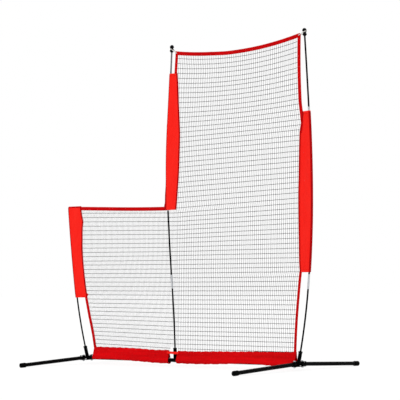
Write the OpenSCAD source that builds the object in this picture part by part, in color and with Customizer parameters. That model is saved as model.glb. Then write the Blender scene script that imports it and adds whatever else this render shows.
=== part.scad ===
/* [Base] */
// Distance between the pole sockets of the two end hubs
hub_span = 1850; // [1500:10:2200]
// Distance from the left pole socket to the centre pole socket
centre_hub_x = 820; // [650:5:950]
// Height of the crossbar's axis over the floor
crossbar_z = 41; // [36:0.5:55]
// Outside diameter of the crossbar and leg tubes
tube_d = 25.4; // [22:0.1:28]
// Wall of the crossbar and leg tubes
tube_wall = 1.5; // [1.2:0.1:2]
// Radial clearance between a hub's spigot and the crossbar tube on it
spigot_clear = 0.15; // [0.1:0.05:0.3]
// Wall of a hub's spigot
spigot_wall = 1.6; // [1.2:0.1:2]
// Length of a spigot, from the socket's axis to its end
spigot_l = 72; // [60:1:100]
// Distance from a socket's axis to the end of the crossbar tube
crossbar_gap = 18; // [16:1:26]

/* [Hubs] */
// Outside diameter of a pole socket
socket_d = 24; // [22:0.5:28]
// Height of a pole socket over the crossbar's axis, along the pole
socket_l = 74; // [60:1:95]
// Wall of a pole socket
socket_wall = 2.5; // [2:0.1:3]
// Radial clearance of a liner in its socket
liner_clear = 0.1; // [0.05:0.05:0.3]
// Diameter of the collar on top of a liner
collar_d = 27; // [25:0.5:32]
// Height of the collar on top of a liner
collar_h = 7; // [4:0.5:12]
// Distance from the crossbar's axis to a leg's pivot
pivot_y = 40; // [36:1:60]
// Clear height between the two plates of an end hub
plate_gap = 28; // [27.5:0.5:34]
// Thickness of a hub plate
plate_t = 2.5; // [2:0.1:4]
// Width of a hub plate
plate_w = 30; // [28:1:40]
// Distance that a plate runs on past the pivot
plate_past = 19; // [19:1:26]
// Thickness of the stop that an open leg rests against
stop_t = 3; // [2:0.5:5]
// Length of that stop along the leg
stop_l = 6; // [4:0.5:6]
// Gap between an open leg and its stop
stop_gap = 0.4; // [0.3:0.1:1]

/* [Legs] */
// Distance from the crossbar's axis to the outer end of a leg's cap
leg_reach = 630; // [450:5:800]
// Distance that a leg's tube runs on past its pivot, towards the crossbar
leg_tail = 12; // [10:0.5:14]
// Diameter of a pivot bolt's shank
bolt_d = 8; // [6:0.5:10]
// Radial clearance of a pivot bolt in a hub plate
bolt_hole_clear = 0.2; // [0.1:0.05:0.4]
// Radial clearance of a pivot bolt in the leg's bush
bush_clear = 0.08; // [0.05:0.01:0.1]
// Wall of the bush welded through a leg
bush_wall = 2.6; // [2:0.1:3.5]
// Clearance between a leg's bush and a hub plate
bush_gap = 0.4; // [0.3:0.05:0.8]
// Height of a bolt's head
bolt_head_h = 5.3; // [4:0.1:7]
// Width of a bolt's head and nut across their corners
hex_d = 15; // [12:0.5:18]
// Height of a nut
nut_h = 6.5; // [5:0.1:8]
// Outside diameter of a leg's rubber cap
cap_d = 32; // [29:0.5:38]
// Length of a leg's rubber cap
cap_l = 42; // [30:1:60]
// End wall of a rubber cap
cap_end = 5; // [3:0.5:8]
// Radius of a rubber cap's rounded edges
cap_round = 3; // [1:0.5:3]
// Depth cut from a rubber cap for its flat sole
sole_cut = 0.8; // [0.4:0.1:2]

/* [Snap buttons] */
// Diameter of a snap button
button_d = 8; // [6:0.5:9]
// Distance from a socket's axis to its snap button
button_x = 46; // [36:1:55]
// Height that a button stands over the crossbar tube
button_proud = 3; // [2:0.1:4]
// Radial clearance of a button in its holes
button_clear = 0.09; // [0.05:0.01:0.1]
// Diameter of the flange that keeps a button in its spigot
button_flange_d = 11.5; // [10:0.5:12.5]
// Thickness of that flange
button_flange_t = 1.2; // [1:0.1:2]
// Width of a button's leaf spring
leaf_w = 6; // [5:0.5:7]
// Thickness of a button's leaf spring
leaf_t = 0.8; // [0.5:0.1:1]
// Length of a leaf spring from the button's axis to its bend
leaf_l = 24; // [18:1:25]

/* [Poles] */
// Length of one pole section
section_l = 520; // [400:5:600]
// Outside diameter of a pole section
rod_d = 11; // [9:0.5:12]
// Bore of a pole section
rod_bore = 6; // [5:0.5:7]
// Width of the ridge inside a ferrule that keeps two pole sections apart
ridge_w = 2; // [1:0.5:4]
// Clearance between the ridge and the end of a pole section
ridge_gap = 0.2; // [0.1:0.1:0.5]
// Lean of the right pole at its foot, in degrees away from the net
right_lean_foot = 14; // [8:0.5:18]
// Lean of the right pole at its first ferrule
right_lean_1 = 6; // [3:0.5:8]
// Lean of the right pole at its second ferrule
right_lean_2 = 1; // [0.5:0.5:2.5]
// Lean of the right pole at its third ferrule
right_lean_3 = -2.5; // [-3:0.5:-1]
// Lean of the right pole at its top
right_lean_top = -3.3; // [-6:0.1:-3.1]
// Lean of the centre pole at its foot, in degrees towards the low side
centre_lean_foot = 0.5; // [-2:0.5:1.5]
// Lean of the centre pole at its first ferrule
centre_lean_1 = 4.3; // [2.5:0.1:6]
// Lean of the centre pole at its second ferrule
centre_lean_2 = 2; // [0.5:0.5:2]
// Lean of the centre pole at its third ferrule
centre_lean_3 = -5; // [-6:0.5:-4.5]
// Lean of the centre pole at its top
centre_lean_top = -4; // [-4.4:0.1:-2]
// Lean of the left pole at its foot, in degrees away from the net
left_lean_foot = 17.5; // [10:0.5:20]
// Lean of the left pole at its ferrule
left_lean_1 = 7; // [5:0.5:9]
// Lean of the left pole at its top
left_lean_top = 4.5; // [2:0.5:4.5]
// Length of a ferrule
ferrule_l = 92; // [60:1:120]
// Wall of a ferrule
ferrule_wall = 1.1; // [0.8:0.1:1.1]
// Height of the bead round a ferrule's middle
bead_h = 0.2; // [0.1:0.05:0.25]
// Radial clearance of a pole section in a ferrule, a liner or a cap
rod_clear = 0.05; // [0.05:0.01:0.1]
// Diameter of the elastic cord inside a pole
shock_cord_d = 5; // [4:0.2:5.2]

/* [Pole caps] */
// Diameter of a ball cap
ball_d = 29; // [26:0.5:36]
// Length of a ball cap
ball_l = 50; // [44:1:60]
// Depth of a ball cap's bore
ball_bore_l = 28; // [20:1:32]
// Diameter of the groove for the elastic loop
groove_d = 20; // [18:0.5:22]
// Width of that groove
groove_w = 20; // [18:0.5:24]
// Diameter of a ball cap's lower rim
ball_neck_d = 15; // [14:0.5:18]
// Diameter of the left pole's rubber tip
tip_d = 13.6; // [13.2:0.1:14]
// Length of the left pole's rubber tip
tip_l = 18; // [12:1:30]
// End wall of the left pole's rubber tip
tip_end = 6; // [3:0.5:10]

/* [Net] */
// Front face of the netting, behind the poles' axes
net_y = 7.15; // [7.1:0.05:9]
// Thickness of the netting's panels
net_t = 1; // [0.8:0.1:2]
// Openings across the tall panel
tall_openings_across = 8; // [2:1:12]
// Openings up the tall panel
tall_openings_up = 12; // [2:1:12]
// Openings across the low panel
low_openings_across = 6; // [2:1:12]
// Openings up the low panel
low_openings_up = 6; // [2:1:12]
// Width of the netting's strands between the openings
strand_w = 8; // [4:1:14]
// Width of the netting's edge round the openings
net_edge = 10; // [6:1:20]
// Inside radius of a pole sleeve
sleeve_r = 7.2; // [7.1:0.1:8]
// Fabric thickness of a pole sleeve
sleeve_t = 1.5; // [1.2:0.1:1.5]
// Distance from a pole's axis to the sleeve's flat web
web_in = 2.5; // [2:0.1:2.5]
// Width of the edge binding
binding_w = 18; // [12:1:26]
// Thickness of the edge binding
binding_t = 2.6; // [2:0.1:4]
// Distance from the right pole's top down to the tall panel's corner
right_corner_below = 18.4; // [14:0.1:30]
// Distance from the centre pole's top down to the tall panel's corner
centre_corner_below = 36.7; // [32:0.1:60]
// Sag of the tall panel's top edge
tall_sag = 45; // [20:1:90]
// Distance from the right pole's axis to the tall panel's upper corner
right_corner_in = 53; // [36:1:60]
// Distance from the centre pole's axis to the tall panel's upper corner
centre_corner_in = 40; // [32:1:60]
// Hollow of the tall panel's upper right edge
side_sag = 10; // [0:1:20]
// Height where the right sleeve starts, along the pole
right_sleeve_from = 572; // [560:1:640]
// Distance from the right pole's top down to the end of its sleeve
right_sleeve_below = 508; // [400:1:680]
// Width of the right sleeve at its foot
right_sleeve_w0 = 65; // [50:1:90]
// Width of the right sleeve halfway up
right_sleeve_w1 = 92; // [70:1:110]
// Width of the right sleeve at its top
right_sleeve_w2 = 55; // [45:1:80]
// Height where the centre sleeve starts, along the pole
centre_sleeve_from = 998; // [900:1:1050]
// Distance from the centre pole's top down to the end of its sleeve
centre_sleeve_below = 162; // [100:1:280]
// Width of the centre sleeve at its foot
centre_sleeve_w0 = 75; // [60:1:90]
// Width of the centre sleeve halfway up
centre_sleeve_w1 = 100; // [80:1:110]
// Width of the centre sleeve at its top
centre_sleeve_w2 = 46; // [40:1:70]
// Height where the left sleeve starts, along the pole
left_sleeve_from = 440; // [300:1:520]
// Width of the left sleeve at its foot
left_sleeve_w0 = 98; // [80:1:110]
// Width of the left sleeve halfway up
left_sleeve_w1 = 92; // [80:1:110]
// Width of the left sleeve at its top
left_sleeve_w2 = 104; // [80:1:115]
// Length of the left sleeve's pocket beyond the pole
left_pocket = 30; // [8:1:32]
// Sag of the low panel's top edge
low_sag = 5; // [0:1:40]
// Rise of the low top edge over the centre sleeve's foot
low_rise = 16; // [5:1:20]
// Hollow of the tall panel's lower right edge
lower_sag = 6; // [0:1:12]
// Clearance between the low panel and the centre sleeve's foot
foot_gap = 1; // [0.8:0.1:2]
// Clearance round a pole socket where it stands through the netting
socket_gap = 0.8; // [0.5:0.1:2]

/* [Hem] */
// Distance from the crossbar's axis to the hem's outside
hem_r = 18.5; // [17.5:0.5:24]
// Fabric thickness of the hem
hem_t = 1.2; // [1:0.1:1.5]
// Height of the hem's top over the floor
hem_top = 108; // [90:1:130]
// Width of the hem's top edge
hem_top_w = 5; // [4:0.5:8]
// Distance from the left socket to the hem
hem_left_gap = 60; // [60:1:95]
// Distance from the centre socket to the hem on the low side
hem_slot_left = 52; // [30:1:70]
// Distance from the centre socket to the hem on the tall side
hem_slot_right = 18; // [16:1:30]
// Distance from the right socket to the hem
hem_right_gap = 19; // [17:1:40]
// Width of the strap across the centre socket
strap_w = 18; // [12:1:26]
// Height of the strap's lower edge over the floor
strap_z = 80; // [66:1:82]
// Length of the strap over each end of the hem
strap_over = 18; // [12:1:30]

/* [Elastic loops] */
// Diameter of the elastic cord
loop_d = 5; // [4:0.5:5.5]
// Half the width of a loop where it passes through the net's corner
loop_end_r = 5; // [4.5:0.5:7]
// Tilt of a loop in its groove, in degrees
loop_tilt = 24; // [16:1:28]
// Bore of a corner grommet
grommet_bore = 9; // [8:0.5:10]
// Outside diameter of a corner grommet
grommet_d = 15; // [14:0.5:17]
// Thickness of a corner grommet
grommet_t = 3.6; // [3:0.1:5]

/* [Hidden] */

$fn = 48;

tube_r = tube_d / 2;
spigot_r = tube_r - tube_wall - spigot_clear;
socket_bore_r = socket_d / 2 - socket_wall;
rod_hole_r = rod_d / 2 + rod_clear;
ferrule_r = rod_hole_r + ferrule_wall;
sleeve_out_r = sleeve_r + sleeve_t;
leg_l = leg_reach - pivot_y;
button_hole_r = button_d / 2 + button_clear;
net_mid_y = net_y + net_t / 2;
// Facets of a whole turn, where a pole's long arc is only a few degrees of it
arc_fn = 720;

// A pole is [x of its foot, side it leans to, leans in degrees at its foot, joints and top]
right_pole = [hub_span, 1,
    [right_lean_foot, right_lean_1, right_lean_2, right_lean_3, right_lean_top]];
centre_pole = [centre_hub_x, -1,
    [centre_lean_foot, centre_lean_1, centre_lean_2, centre_lean_3, centre_lean_top]];
left_pole = [0, -1, [left_lean_foot, left_lean_1, left_lean_top]];

// Number of sections in a pole, and its length
function sections(p) = len(p[2]) - 1;
function pole_l(p) = sections(p) * section_l;
// Section that holds the length s, and the lean there
function section_at(p, s) = max(0, min(sections(p) - 1, floor(s / section_l)));
function lean_at(p, s) = let (i = section_at(p, s), a = p[2][i])
    a + (p[2][i + 1] - a) * (s / section_l - i);
// Radius of an arc of length l that turns from lean a to lean b, and the point where it ends
function bend_r(a, b, l) = l / ((b - a) * PI / 180);
function arc_end(q, side, a, b, l) = let (r = bend_r(a, b, l))
    [q[0] + side * r * (cos(a) - cos(b)), q[1] + r * (sin(b) - sin(a))];
function joint_pt(p, i) = i == 0 ? [p[0], crossbar_z]
    : arc_end(joint_pt(p, i - 1), p[1], p[2][i - 1], p[2][i], section_l);
// Point [x, z] on a pole's axis at the length s
function along(p, s) = let (i = section_at(p, s), d = s - i * section_l)
    abs(d) < 0.001 ? joint_pt(p, i) : arc_end(joint_pt(p, i), p[1], p[2][i], lean_at(p, s), d);

// Outermost x of the right pole, where its lean passes through upright in the third section
right_apex = right_pole[2][2] / (right_pole[2][2] - right_pole[2][3]);
x_max = along(right_pole, (2 + right_apex) * section_l)[0] + sleeve_out_r;
left_end = pole_l(left_pole) + left_pocket + sleeve_t;
x_min = along(left_pole, left_end)[0] - sleeve_out_r * cos(lean_at(left_pole, left_end));
// The origin stands on the floor, under the middle of the whole net
x_mid = (x_min + x_max) / 2;

module place() translate([-x_mid, 0, 0]) children();

module frame_black() color("#1d1d1f") children();
module red_tape() color("#c4101a") children();
module red_fabric() color("#ee241f") children();

// Sections at the two ends of the stretch from s0 to s1
function first_in(p, s0) = section_at(p, s0 + 0.001);
function last_in(p, s1) = section_at(p, s1 - 0.001);

// Half the gap that a sweep leaves at each joint, which the piece's band there closes
joint_gap = 0.5;

// Sweeps a flat shape along a pole's axis from the length s0 to s1
module pole_run(p, s0, s1)
    for (i = [first_in(p, s0) : last_in(p, s1)]) {
        lo = i == first_in(p, s0) ? s0 : i * section_l + joint_gap;
        hi = i == last_in(p, s1) ? s1 : (i + 1) * section_l - joint_gap;
        q = along(p, lo);
        a = p[2][i] + (p[2][i + 1] - p[2][i]) * (lo / section_l - i);
        b = p[2][i] + (p[2][i + 1] - p[2][i]) * (hi / section_l - i);
        r = abs(bend_r(a, b, hi - lo));
        // The arc bends towards -X in the pole's own frame, or its mirror image towards +X
        bends_out = p[1] * (b - a) > 0;
        translate([q[0], 0, q[1]]) rotate([0, p[1] * a, 0]) mirror([bends_out ? 1 : 0, 0, 0])
            translate([-r, 0, 0]) rotate([90, 0, 0])
                rotate_extrude(angle = abs(b - a), $fn = arc_fn) translate([r, 0]) children();
    }

module ring(r_out, r_in) difference() {
    circle(r_out);
    circle(r_in);
}

// Puts a piece on a pole's axis at the length s, with its +Z along the pole
module on_pole(p, s) {
    q = along(p, s);
    translate([q[0], 0, q[1]]) rotate([0, p[1] * lean_at(p, s), 0]) children();
}

// Bands of the height h round every joint between the lengths s0 and s1
module joint_bands(p, s0, s1, h)
    for (i = [first_in(p, s0) + 1 : 1 : last_in(p, s1)]) on_pole(p, i * section_l)
        linear_extrude(h, center = true) children();

/* Hubs and crossbars */

// A spigot with its button hole, along +X from the socket's axis
module spigot() difference() {
    rotate([0, 90, 0]) cylinder(r = spigot_r, h = spigot_l);
    translate([crossbar_gap, 0, 0]) rotate([0, 90, 0])
        cylinder(r = spigot_r - spigot_wall, h = spigot_l);
    translate([button_x, 0, 0]) cylinder(r = button_hole_r, h = tube_d);
}

module at_crossbar(x) translate([x, 0, crossbar_z]) children();

// A hub's socket round the pole p, from the depth below the crossbar's axis, and its bore
module socket_body(p, depth) pole_run(p, -depth, socket_l) circle(socket_d / 2);
module socket_bore(p) pole_run(p, -0.2, socket_l + 1) circle(socket_bore_r);

plate_out = plate_gap / 2 + plate_t;
plate_end = pivot_y + plate_past;
// Distance from the socket's axis to the plates' outer side, which carries the stops
plate_back = tube_r + stop_gap + stop_t;
// Radius of a plate's rounded corners
corner_r = 8;
// Length that a socket runs on below the lower plate before it is trimmed
socket_foot = 4;

// One plate of an end hub, with the two pivot holes and rounded inner corners
module hub_plate() linear_extrude(plate_t) difference() {
    union() {
        translate([-plate_back, -plate_end])
            square([plate_back + plate_w / 2 - corner_r, 2 * plate_end]);
        translate([0, -plate_end + corner_r])
            square([plate_w / 2, 2 * (plate_end - corner_r)]);
        for (dir = [-1, 1])
            translate([plate_w / 2 - corner_r, dir * (plate_end - corner_r)]) circle(corner_r);
    }
    for (dir = [-1, 1]) translate([0, dir * pivot_y]) circle(bolt_d / 2 + bolt_hole_clear);
}

// An end hub whose crossbar runs to the side in (1 or -1 along X)
module end_hub(p, in) frame_black() difference() {
    union() {
        socket_body(p, plate_out + socket_foot);
        at_crossbar(p[0]) mirror([in < 0 ? 1 : 0, 0, 0]) {
            spigot();
            translate([0, 0, plate_gap / 2]) hub_plate();
            translate([0, 0, -plate_out]) hub_plate();
            // Stops between the plates, past the swing of each leg's tail
            for (dir = [-1, 1])
                translate([-plate_back, dir * (plate_end - stop_l / 2) - stop_l / 2, -plate_out])
                    cube([stop_t, stop_l, 2 * plate_out]);
        }
    }
    socket_bore(p);
    // Trims the socket's slanted foot flush with the lower plate
    at_crossbar(p[0]) translate([-tube_d, -tube_d, -plate_out - tube_d])
        cube([2 * tube_d, 2 * tube_d, tube_d]);
}

module left_hub() place() end_hub(left_pole, 1);
module right_hub() place() end_hub(right_pole, -1);

module centre_hub() place() frame_black() difference() {
    union() {
        socket_body(centre_pole, tube_r);
        at_crossbar(centre_hub_x) for (side = [0, 1]) mirror([side, 0, 0]) spigot();
    }
    socket_bore(centre_pole);
}

// A crossbar tube between two sockets, with a button hole near each end
module crossbar(x0, x1) frame_black() difference() {
    at_crossbar(x0 + crossbar_gap) rotate([0, 90, 0])
        cylinder(r = tube_r, h = x1 - x0 - 2 * crossbar_gap);
    at_crossbar(x0) rotate([0, 90, 0]) cylinder(r = tube_r - tube_wall, h = x1 - x0);
    for (x = [x0 + button_x, x1 - button_x])
        at_crossbar(x) cylinder(r = button_hole_r, h = tube_d);
}

module left_crossbar() place() crossbar(0, centre_hub_x);
module right_crossbar() place() crossbar(centre_hub_x, hub_span);

// The nylon liner that holds a pole in its socket
module liner(p) difference() {
    union() {
        pole_run(p, 0, socket_l + collar_h) circle(socket_bore_r - liner_clear);
        pole_run(p, socket_l, socket_l + collar_h) circle(collar_d / 2);
    }
    pole_run(p, -1, socket_l + collar_h + 1) circle(rod_hole_r);
}

module socket_liners() place() color("#141416")
    for (p = [left_pole, centre_pole, right_pole]) liner(p);

/* Legs */

// Fall of a leg, found from the depth to which its round cap would reach below the floor
leg_slope = asin((crossbar_z - cap_d / 2 + sole_cut) / (leg_l - cap_round));

// Puts a piece on the pivot of the leg at hub x, with +X out along the leg's plan
module at_pivot(x, dir) translate([x, dir * pivot_y, crossbar_z]) rotate([0, 0, dir * 90])
    children();

// Puts a piece on a leg's axis at the distance d from the pivot, with +Z along the leg
module on_leg(d) rotate([0, 90 + leg_slope, 0]) translate([0, 0, d]) children();

bush_r = bolt_d / 2 + bush_clear + bush_wall;
bush_h = plate_gap - 2 * bush_gap;

module leg(x, dir) frame_black() at_pivot(x, dir) difference() {
    union() {
        difference() {
            on_leg(-leg_tail) cylinder(r = tube_r, h = leg_l + leg_tail - cap_end);
            on_leg(-leg_tail - 1) cylinder(r = tube_r - tube_wall, h = leg_l + leg_tail + 2);
        }
        translate([0, 0, -bush_h / 2]) cylinder(r = bush_r, h = bush_h);
    }
    cylinder(r = bolt_d / 2 + bush_clear, h = 2 * plate_gap, center = true);
}

// Outline of a rubber cap's outside and bore, from its mouth at 0 to its end
module cap_outline() difference() {
    union() {
        translate([0, cap_round]) square([cap_d / 2, cap_l - 2 * cap_round]);
        square([cap_d / 2 - cap_round, cap_l]);
        for (z = [cap_round, cap_l - cap_round])
            translate([cap_d / 2 - cap_round, z]) circle(cap_round);
    }
    square([tube_r + rod_clear, cap_l - cap_end]);
}

module leg_cap(x, dir) color("#0f0f10") difference() {
    at_pivot(x, dir) on_leg(leg_l - cap_l) rotate_extrude() intersection() {
        cap_outline();
        square([cap_d, cap_l]);
    }
    // The flat sole on the floor
    translate([x - cap_d, dir * leg_reach - leg_l, -cap_d]) cube([2 * cap_d, 2 * leg_l, cap_d]);
}

module left_front_leg() place() leg(0, -1);
module left_back_leg() place() leg(0, 1);
module right_front_leg() place() leg(hub_span, -1);
module right_back_leg() place() leg(hub_span, 1);
module left_front_cap() place() leg_cap(0, -1);
module left_back_cap() place() leg_cap(0, 1);
module right_front_cap() place() leg_cap(hub_span, -1);
module right_back_cap() place() leg_cap(hub_span, 1);

module each_pivot() for (x = [0, hub_span], dir = [-1, 1]) at_pivot(x, dir) children();

module leg_pivot_bolts() place() color("#c3c6ca") each_pivot() {
    translate([0, 0, plate_out]) cylinder(d = hex_d, h = bolt_head_h, $fn = 6);
    translate([0, 0, -plate_out - nut_h - 1])
        cylinder(d = bolt_d, h = 2 * plate_out + nut_h + 1);
}

module leg_pivot_nuts() place() color("#c3c6ca") each_pivot()
    translate([0, 0, -plate_out - nut_h]) difference() {
        cylinder(d = hex_d, h = nut_h, $fn = 6);
        translate([0, 0, -1]) cylinder(r = bolt_d / 2 + rod_clear, h = nut_h + 2);
    }

/* Snap buttons */

button_top = tube_r + button_proud;
// Radius of a button's rounded top edge, and the play between a button's loose pieces
button_round = 1;
play = 0.1;
spigot_in_r = spigot_r - spigot_wall;
// Height of the flange's top, where its rim still clears the spigot's round wall
flange_z = sqrt(pow(spigot_in_r, 2) - pow(button_flange_d / 2, 2)) - 1.5 * play;
leaf_top = flange_z - button_flange_t - play;
// Height of the spring's lower leaf, whose edges rest on the spigot's round wall
leaf_foot = -sqrt(pow(spigot_in_r, 2) - pow(leaf_w / 2, 2)) + play;

module button(x) color("#b9bcc0") at_crossbar(x) rotate_extrude() {
    square([button_d / 2, button_top - button_round]);
    translate([0, button_top - button_round]) square([button_d / 2 - button_round, button_round]);
    translate([0, flange_z - button_flange_t]) square([button_flange_d / 2, button_flange_t]);
    intersection() {
        translate([button_d / 2 - button_round, button_top - button_round]) circle(button_round);
        square([button_d, button_top]);
    }
}

module snap_button(x) difference() {
    button(x);
    // The button starts at the underside of its flange
    color("#b9bcc0") at_crossbar(x) translate([0, 0, -tube_d])
        cylinder(r = tube_d, h = tube_d + flange_z - button_flange_t);
}

// A folded leaf spring: a lower leaf, a bend towards +X, and an upper leaf with a flat pad
module leaf_spring(x, in) color("#9a9da1") at_crossbar(x) mirror([in < 0 ? 1 : 0, 0, 0])
    rotate([90, 0, 0]) linear_extrude(leaf_w, center = true) polygon([
        [-button_d, leaf_foot], [leaf_l, leaf_foot], [leaf_l, leaf_foot + 2 * leaf_t],
        [button_d / 2, leaf_top], [-button_d / 2, leaf_top], [-button_d / 2, leaf_top - leaf_t],
        [button_d / 2 - leaf_t / 2, leaf_top - leaf_t],
        [leaf_l - leaf_t, leaf_foot + 1.5 * leaf_t], [leaf_l - leaf_t, leaf_foot + leaf_t],
        [-button_d, leaf_foot + leaf_t]]);

module left_button() place() snap_button(button_x);
module centre_left_button() place() snap_button(centre_hub_x - button_x);
module centre_right_button() place() snap_button(centre_hub_x + button_x);
module right_button() place() snap_button(hub_span - button_x);
module left_button_spring() place() leaf_spring(button_x, -1);
module centre_left_button_spring() place() leaf_spring(centre_hub_x - button_x, 1);
module centre_right_button_spring() place() leaf_spring(centre_hub_x + button_x, -1);
module right_button_spring() place() leaf_spring(hub_span - button_x, 1);

/* Poles */

// Half the length that the ridge in a ferrule takes between two sections
ridge_half = ridge_w / 2 + ridge_gap;

module pole_section(p, i) color("#17171a")
    pole_run(p, i * section_l + (i == 0 ? 0 : ridge_half),
        (i + 1) * section_l - (i == sections(p) - 1 ? 0 : ridge_half))
        ring(rod_d / 2, rod_bore / 2);

// Depth of the ridge that the bead forms inside a ferrule
ridge_in = rod_d / 8;

// A ferrule over a joint, with a bead rolled into its middle
module ferrule(p, i) color("#c9ccd1") {
    pole_run(p, i * section_l - ferrule_l / 2, i * section_l + ferrule_l / 2)
        ring(ferrule_r, rod_hole_r);
    on_pole(p, i * section_l) linear_extrude(ridge_w, center = true)
        ring(ferrule_r + bead_h, rod_hole_r - ridge_in);
}

module right_pole_section_1() place() pole_section(right_pole, 0);
module right_pole_section_2() place() pole_section(right_pole, 1);
module right_pole_section_3() place() pole_section(right_pole, 2);
module right_pole_section_4() place() pole_section(right_pole, 3);
module centre_pole_section_1() place() pole_section(centre_pole, 0);
module centre_pole_section_2() place() pole_section(centre_pole, 1);
module centre_pole_section_3() place() pole_section(centre_pole, 2);
module centre_pole_section_4() place() pole_section(centre_pole, 3);
module left_pole_section_1() place() pole_section(left_pole, 0);
module left_pole_section_2() place() pole_section(left_pole, 1);
module right_ferrules() place() for (i = [1 : 3]) ferrule(right_pole, i);
module centre_ferrules() place() for (i = [1 : 3]) ferrule(centre_pole, i);
module left_ferrule() place() ferrule(left_pole, 1);

// Bulge of the elastic cord where it is stitched at a joint, and the gap at its ends
cord_bulge = 0.4;
cord_end_gap = 0.5;

// The elastic cord through each pole, a little thicker where it is stitched at a joint
module pole_shock_cords() place() color("#3a3a3c")
    for (p = [left_pole, centre_pole, right_pole]) {
        pole_run(p, cord_end_gap, pole_l(p) - cord_end_gap) circle(shock_cord_d / 2);
        for (i = [1 : sections(p) - 1]) on_pole(p, i * section_l)
            sphere(shock_cord_d / 2 + cord_bulge);
    }

// Share of a ball cap's length, beside its groove, that lies below it
cone_share = 0.42;
// Share of that length that is a cone, before the rim
rim_share = 0.7;
// Height of the groove's sloped sides
groove_slope = 2;

// Outline of a ball cap: a cone, a rim, a groove and a dome over it
cone_l = (ball_l - groove_w) * cone_share;
module ball_outline() {
    polygon([[0, 0], [ball_neck_d / 2, 0], [ball_d / 2, cone_l * rim_share], [ball_d / 2, cone_l],
        [groove_d / 2, cone_l + groove_slope], [groove_d / 2, cone_l + groove_w - groove_slope],
        [ball_d / 2, cone_l + groove_w], [0, cone_l + groove_w]]);
    dome_h = ball_l - cone_l - groove_w;
    polygon([for (a = [0 : 10 : 90]) [ball_d / 2 * cos(a), cone_l + groove_w + dome_h * sin(a)],
        [0, cone_l + groove_w]]);
}

module ball_cap(p) color("#131315") on_pole(p, pole_l(p) - ball_bore_l) difference() {
    rotate_extrude() ball_outline();
    translate([0, 0, -play]) cylinder(r = rod_hole_r + play, h = ball_bore_l + 2 * play);
}

module right_ball_cap() place() ball_cap(right_pole);
module centre_ball_cap() place() ball_cap(centre_pole);

module left_pole_tip() place() color("#0f0f10") difference() {
    pole_run(left_pole, pole_l(left_pole) - tip_l + tip_end, pole_l(left_pole) + tip_end)
        circle(tip_d / 2);
    pole_run(left_pole, pole_l(left_pole) - tip_l, pole_l(left_pole) + play) circle(rod_hole_r);
}

/* Net outlines, all as [x, z] points */

steps = 16;

// Width of a sleeve at the share t of its height, through three widths
function sleeve_w(w, t) = w[0] * (1 - t) * (1 - 2 * t) + w[1] * 4 * t * (1 - t)
    + w[2] * t * (2 * t - 1);
// Points at the distance w from a pole's axis, towards the side in, from s0 up to s1
function beside(p, in, w, s0, s1) = [for (k = [0 : steps])
    let (q = along(p, s0 + (s1 - s0) * k / steps)) [q[0] + in * sleeve_w(w, k / steps), q[1]]];
// Points on a line from a to b that hangs down, or bows aside, by the vector sag at its middle
function hanging(a, b, sag) = [for (k = [0 : steps])
    let (t = k / steps) a + (b - a) * t + sag * 4 * t * (1 - t)];
function reversed(v) = [for (k = [len(v) - 1 : -1 : 0]) v[k]];
// Last point of a list, and all its points but the two at its ends
function last(v) = v[len(v) - 1];
function inner(v) = [for (k = [1 : len(v) - 2]) v[k]];
// First points of a list, up to the point n
function first(v, n) = [for (k = [0 : n]) v[k]];

right_w = [right_sleeve_w0, right_sleeve_w1, right_sleeve_w2];
centre_w = [centre_sleeve_w0, centre_sleeve_w1, centre_sleeve_w2];
left_w = [left_sleeve_w0, left_sleeve_w1, left_sleeve_w2];
left_sleeve_to = pole_l(left_pole) + left_pocket;
right_sleeve_to = pole_l(right_pole) - right_sleeve_below;
centre_sleeve_to = pole_l(centre_pole) - centre_sleeve_below;
tall_right_z = along(right_pole, pole_l(right_pole))[1] - right_corner_below;
tall_left_z = along(centre_pole, pole_l(centre_pole))[1] - centre_corner_below;

// The netting's edges at the three sleeves, from the foot up
right_seam = beside(right_pole, -1, right_w, right_sleeve_from, right_sleeve_to);
centre_seam = beside(centre_pole, 1, centre_w, centre_sleeve_from, centre_sleeve_to);
left_seam = beside(left_pole, 1, left_w, left_sleeve_from, left_sleeve_to);

function pole_x_at(p, z) = let (s = (z - crossbar_z) / cos(lean_at(p, z - crossbar_z)))
    along(p, min(s, pole_l(p)))[0];

half_w = binding_w / 2;
tall_right_corner = [pole_x_at(right_pole, tall_right_z) - right_corner_in, tall_right_z];
tall_left_corner = [pole_x_at(centre_pole, tall_left_z) + centre_corner_in, tall_left_z];

// Length that a binding's line runs on past its end, where the next piece cuts it off
tuck = 3;
// Height of the low top binding's edge over the left sleeve's end
top_lap = 0.5;
// Distance from the left sleeve's inner corner to the middle of the binding below it
lower_in = 4;
// The netting is sewn to the right sleeve up to here, and leaves it above
right_sewn = first(right_seam, steps - 2);
// Middle lines of the bindings
tall_top_line = hanging(tall_left_corner - [half_w, 0], tall_right_corner + [half_w, 0],
    [0, -tall_sag]);
tall_right_line = hanging(last(right_sewn) - [0, tuck], tall_right_corner - [0, tuck],
    [-side_sag, 0]);
tall_left_line = hanging(last(centre_seam) - [half_w, tuck], tall_left_corner - [0, tuck], [0, 0]);
hem_x0 = hem_left_gap;
hem_x1 = hub_span - hem_right_gap;
right_lower_line = hanging([hem_x1 - half_w, hem_top - tuck], right_seam[0] - [half_w, 0],
    [-lower_sag, 0]);
left_lower_line = hanging([hem_x0 + half_w, hem_top - tuck], left_seam[0] + [-lower_in, tuck],
    [0, 0]);
centre_sleeve_foot = along(centre_pole, centre_sleeve_from);
low_top_line = hanging(last(left_seam) - [tuck, half_w - top_lap],
    [centre_sleeve_foot[0] - sleeve_out_r - foot_gap, centre_sleeve_foot[1] + low_rise],
    [0, -low_sag]);

split_x = centre_seam[0][0];

// Moves each point of a line by the vector v
function shifted(line, v) = [for (q = line) q + v];
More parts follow.
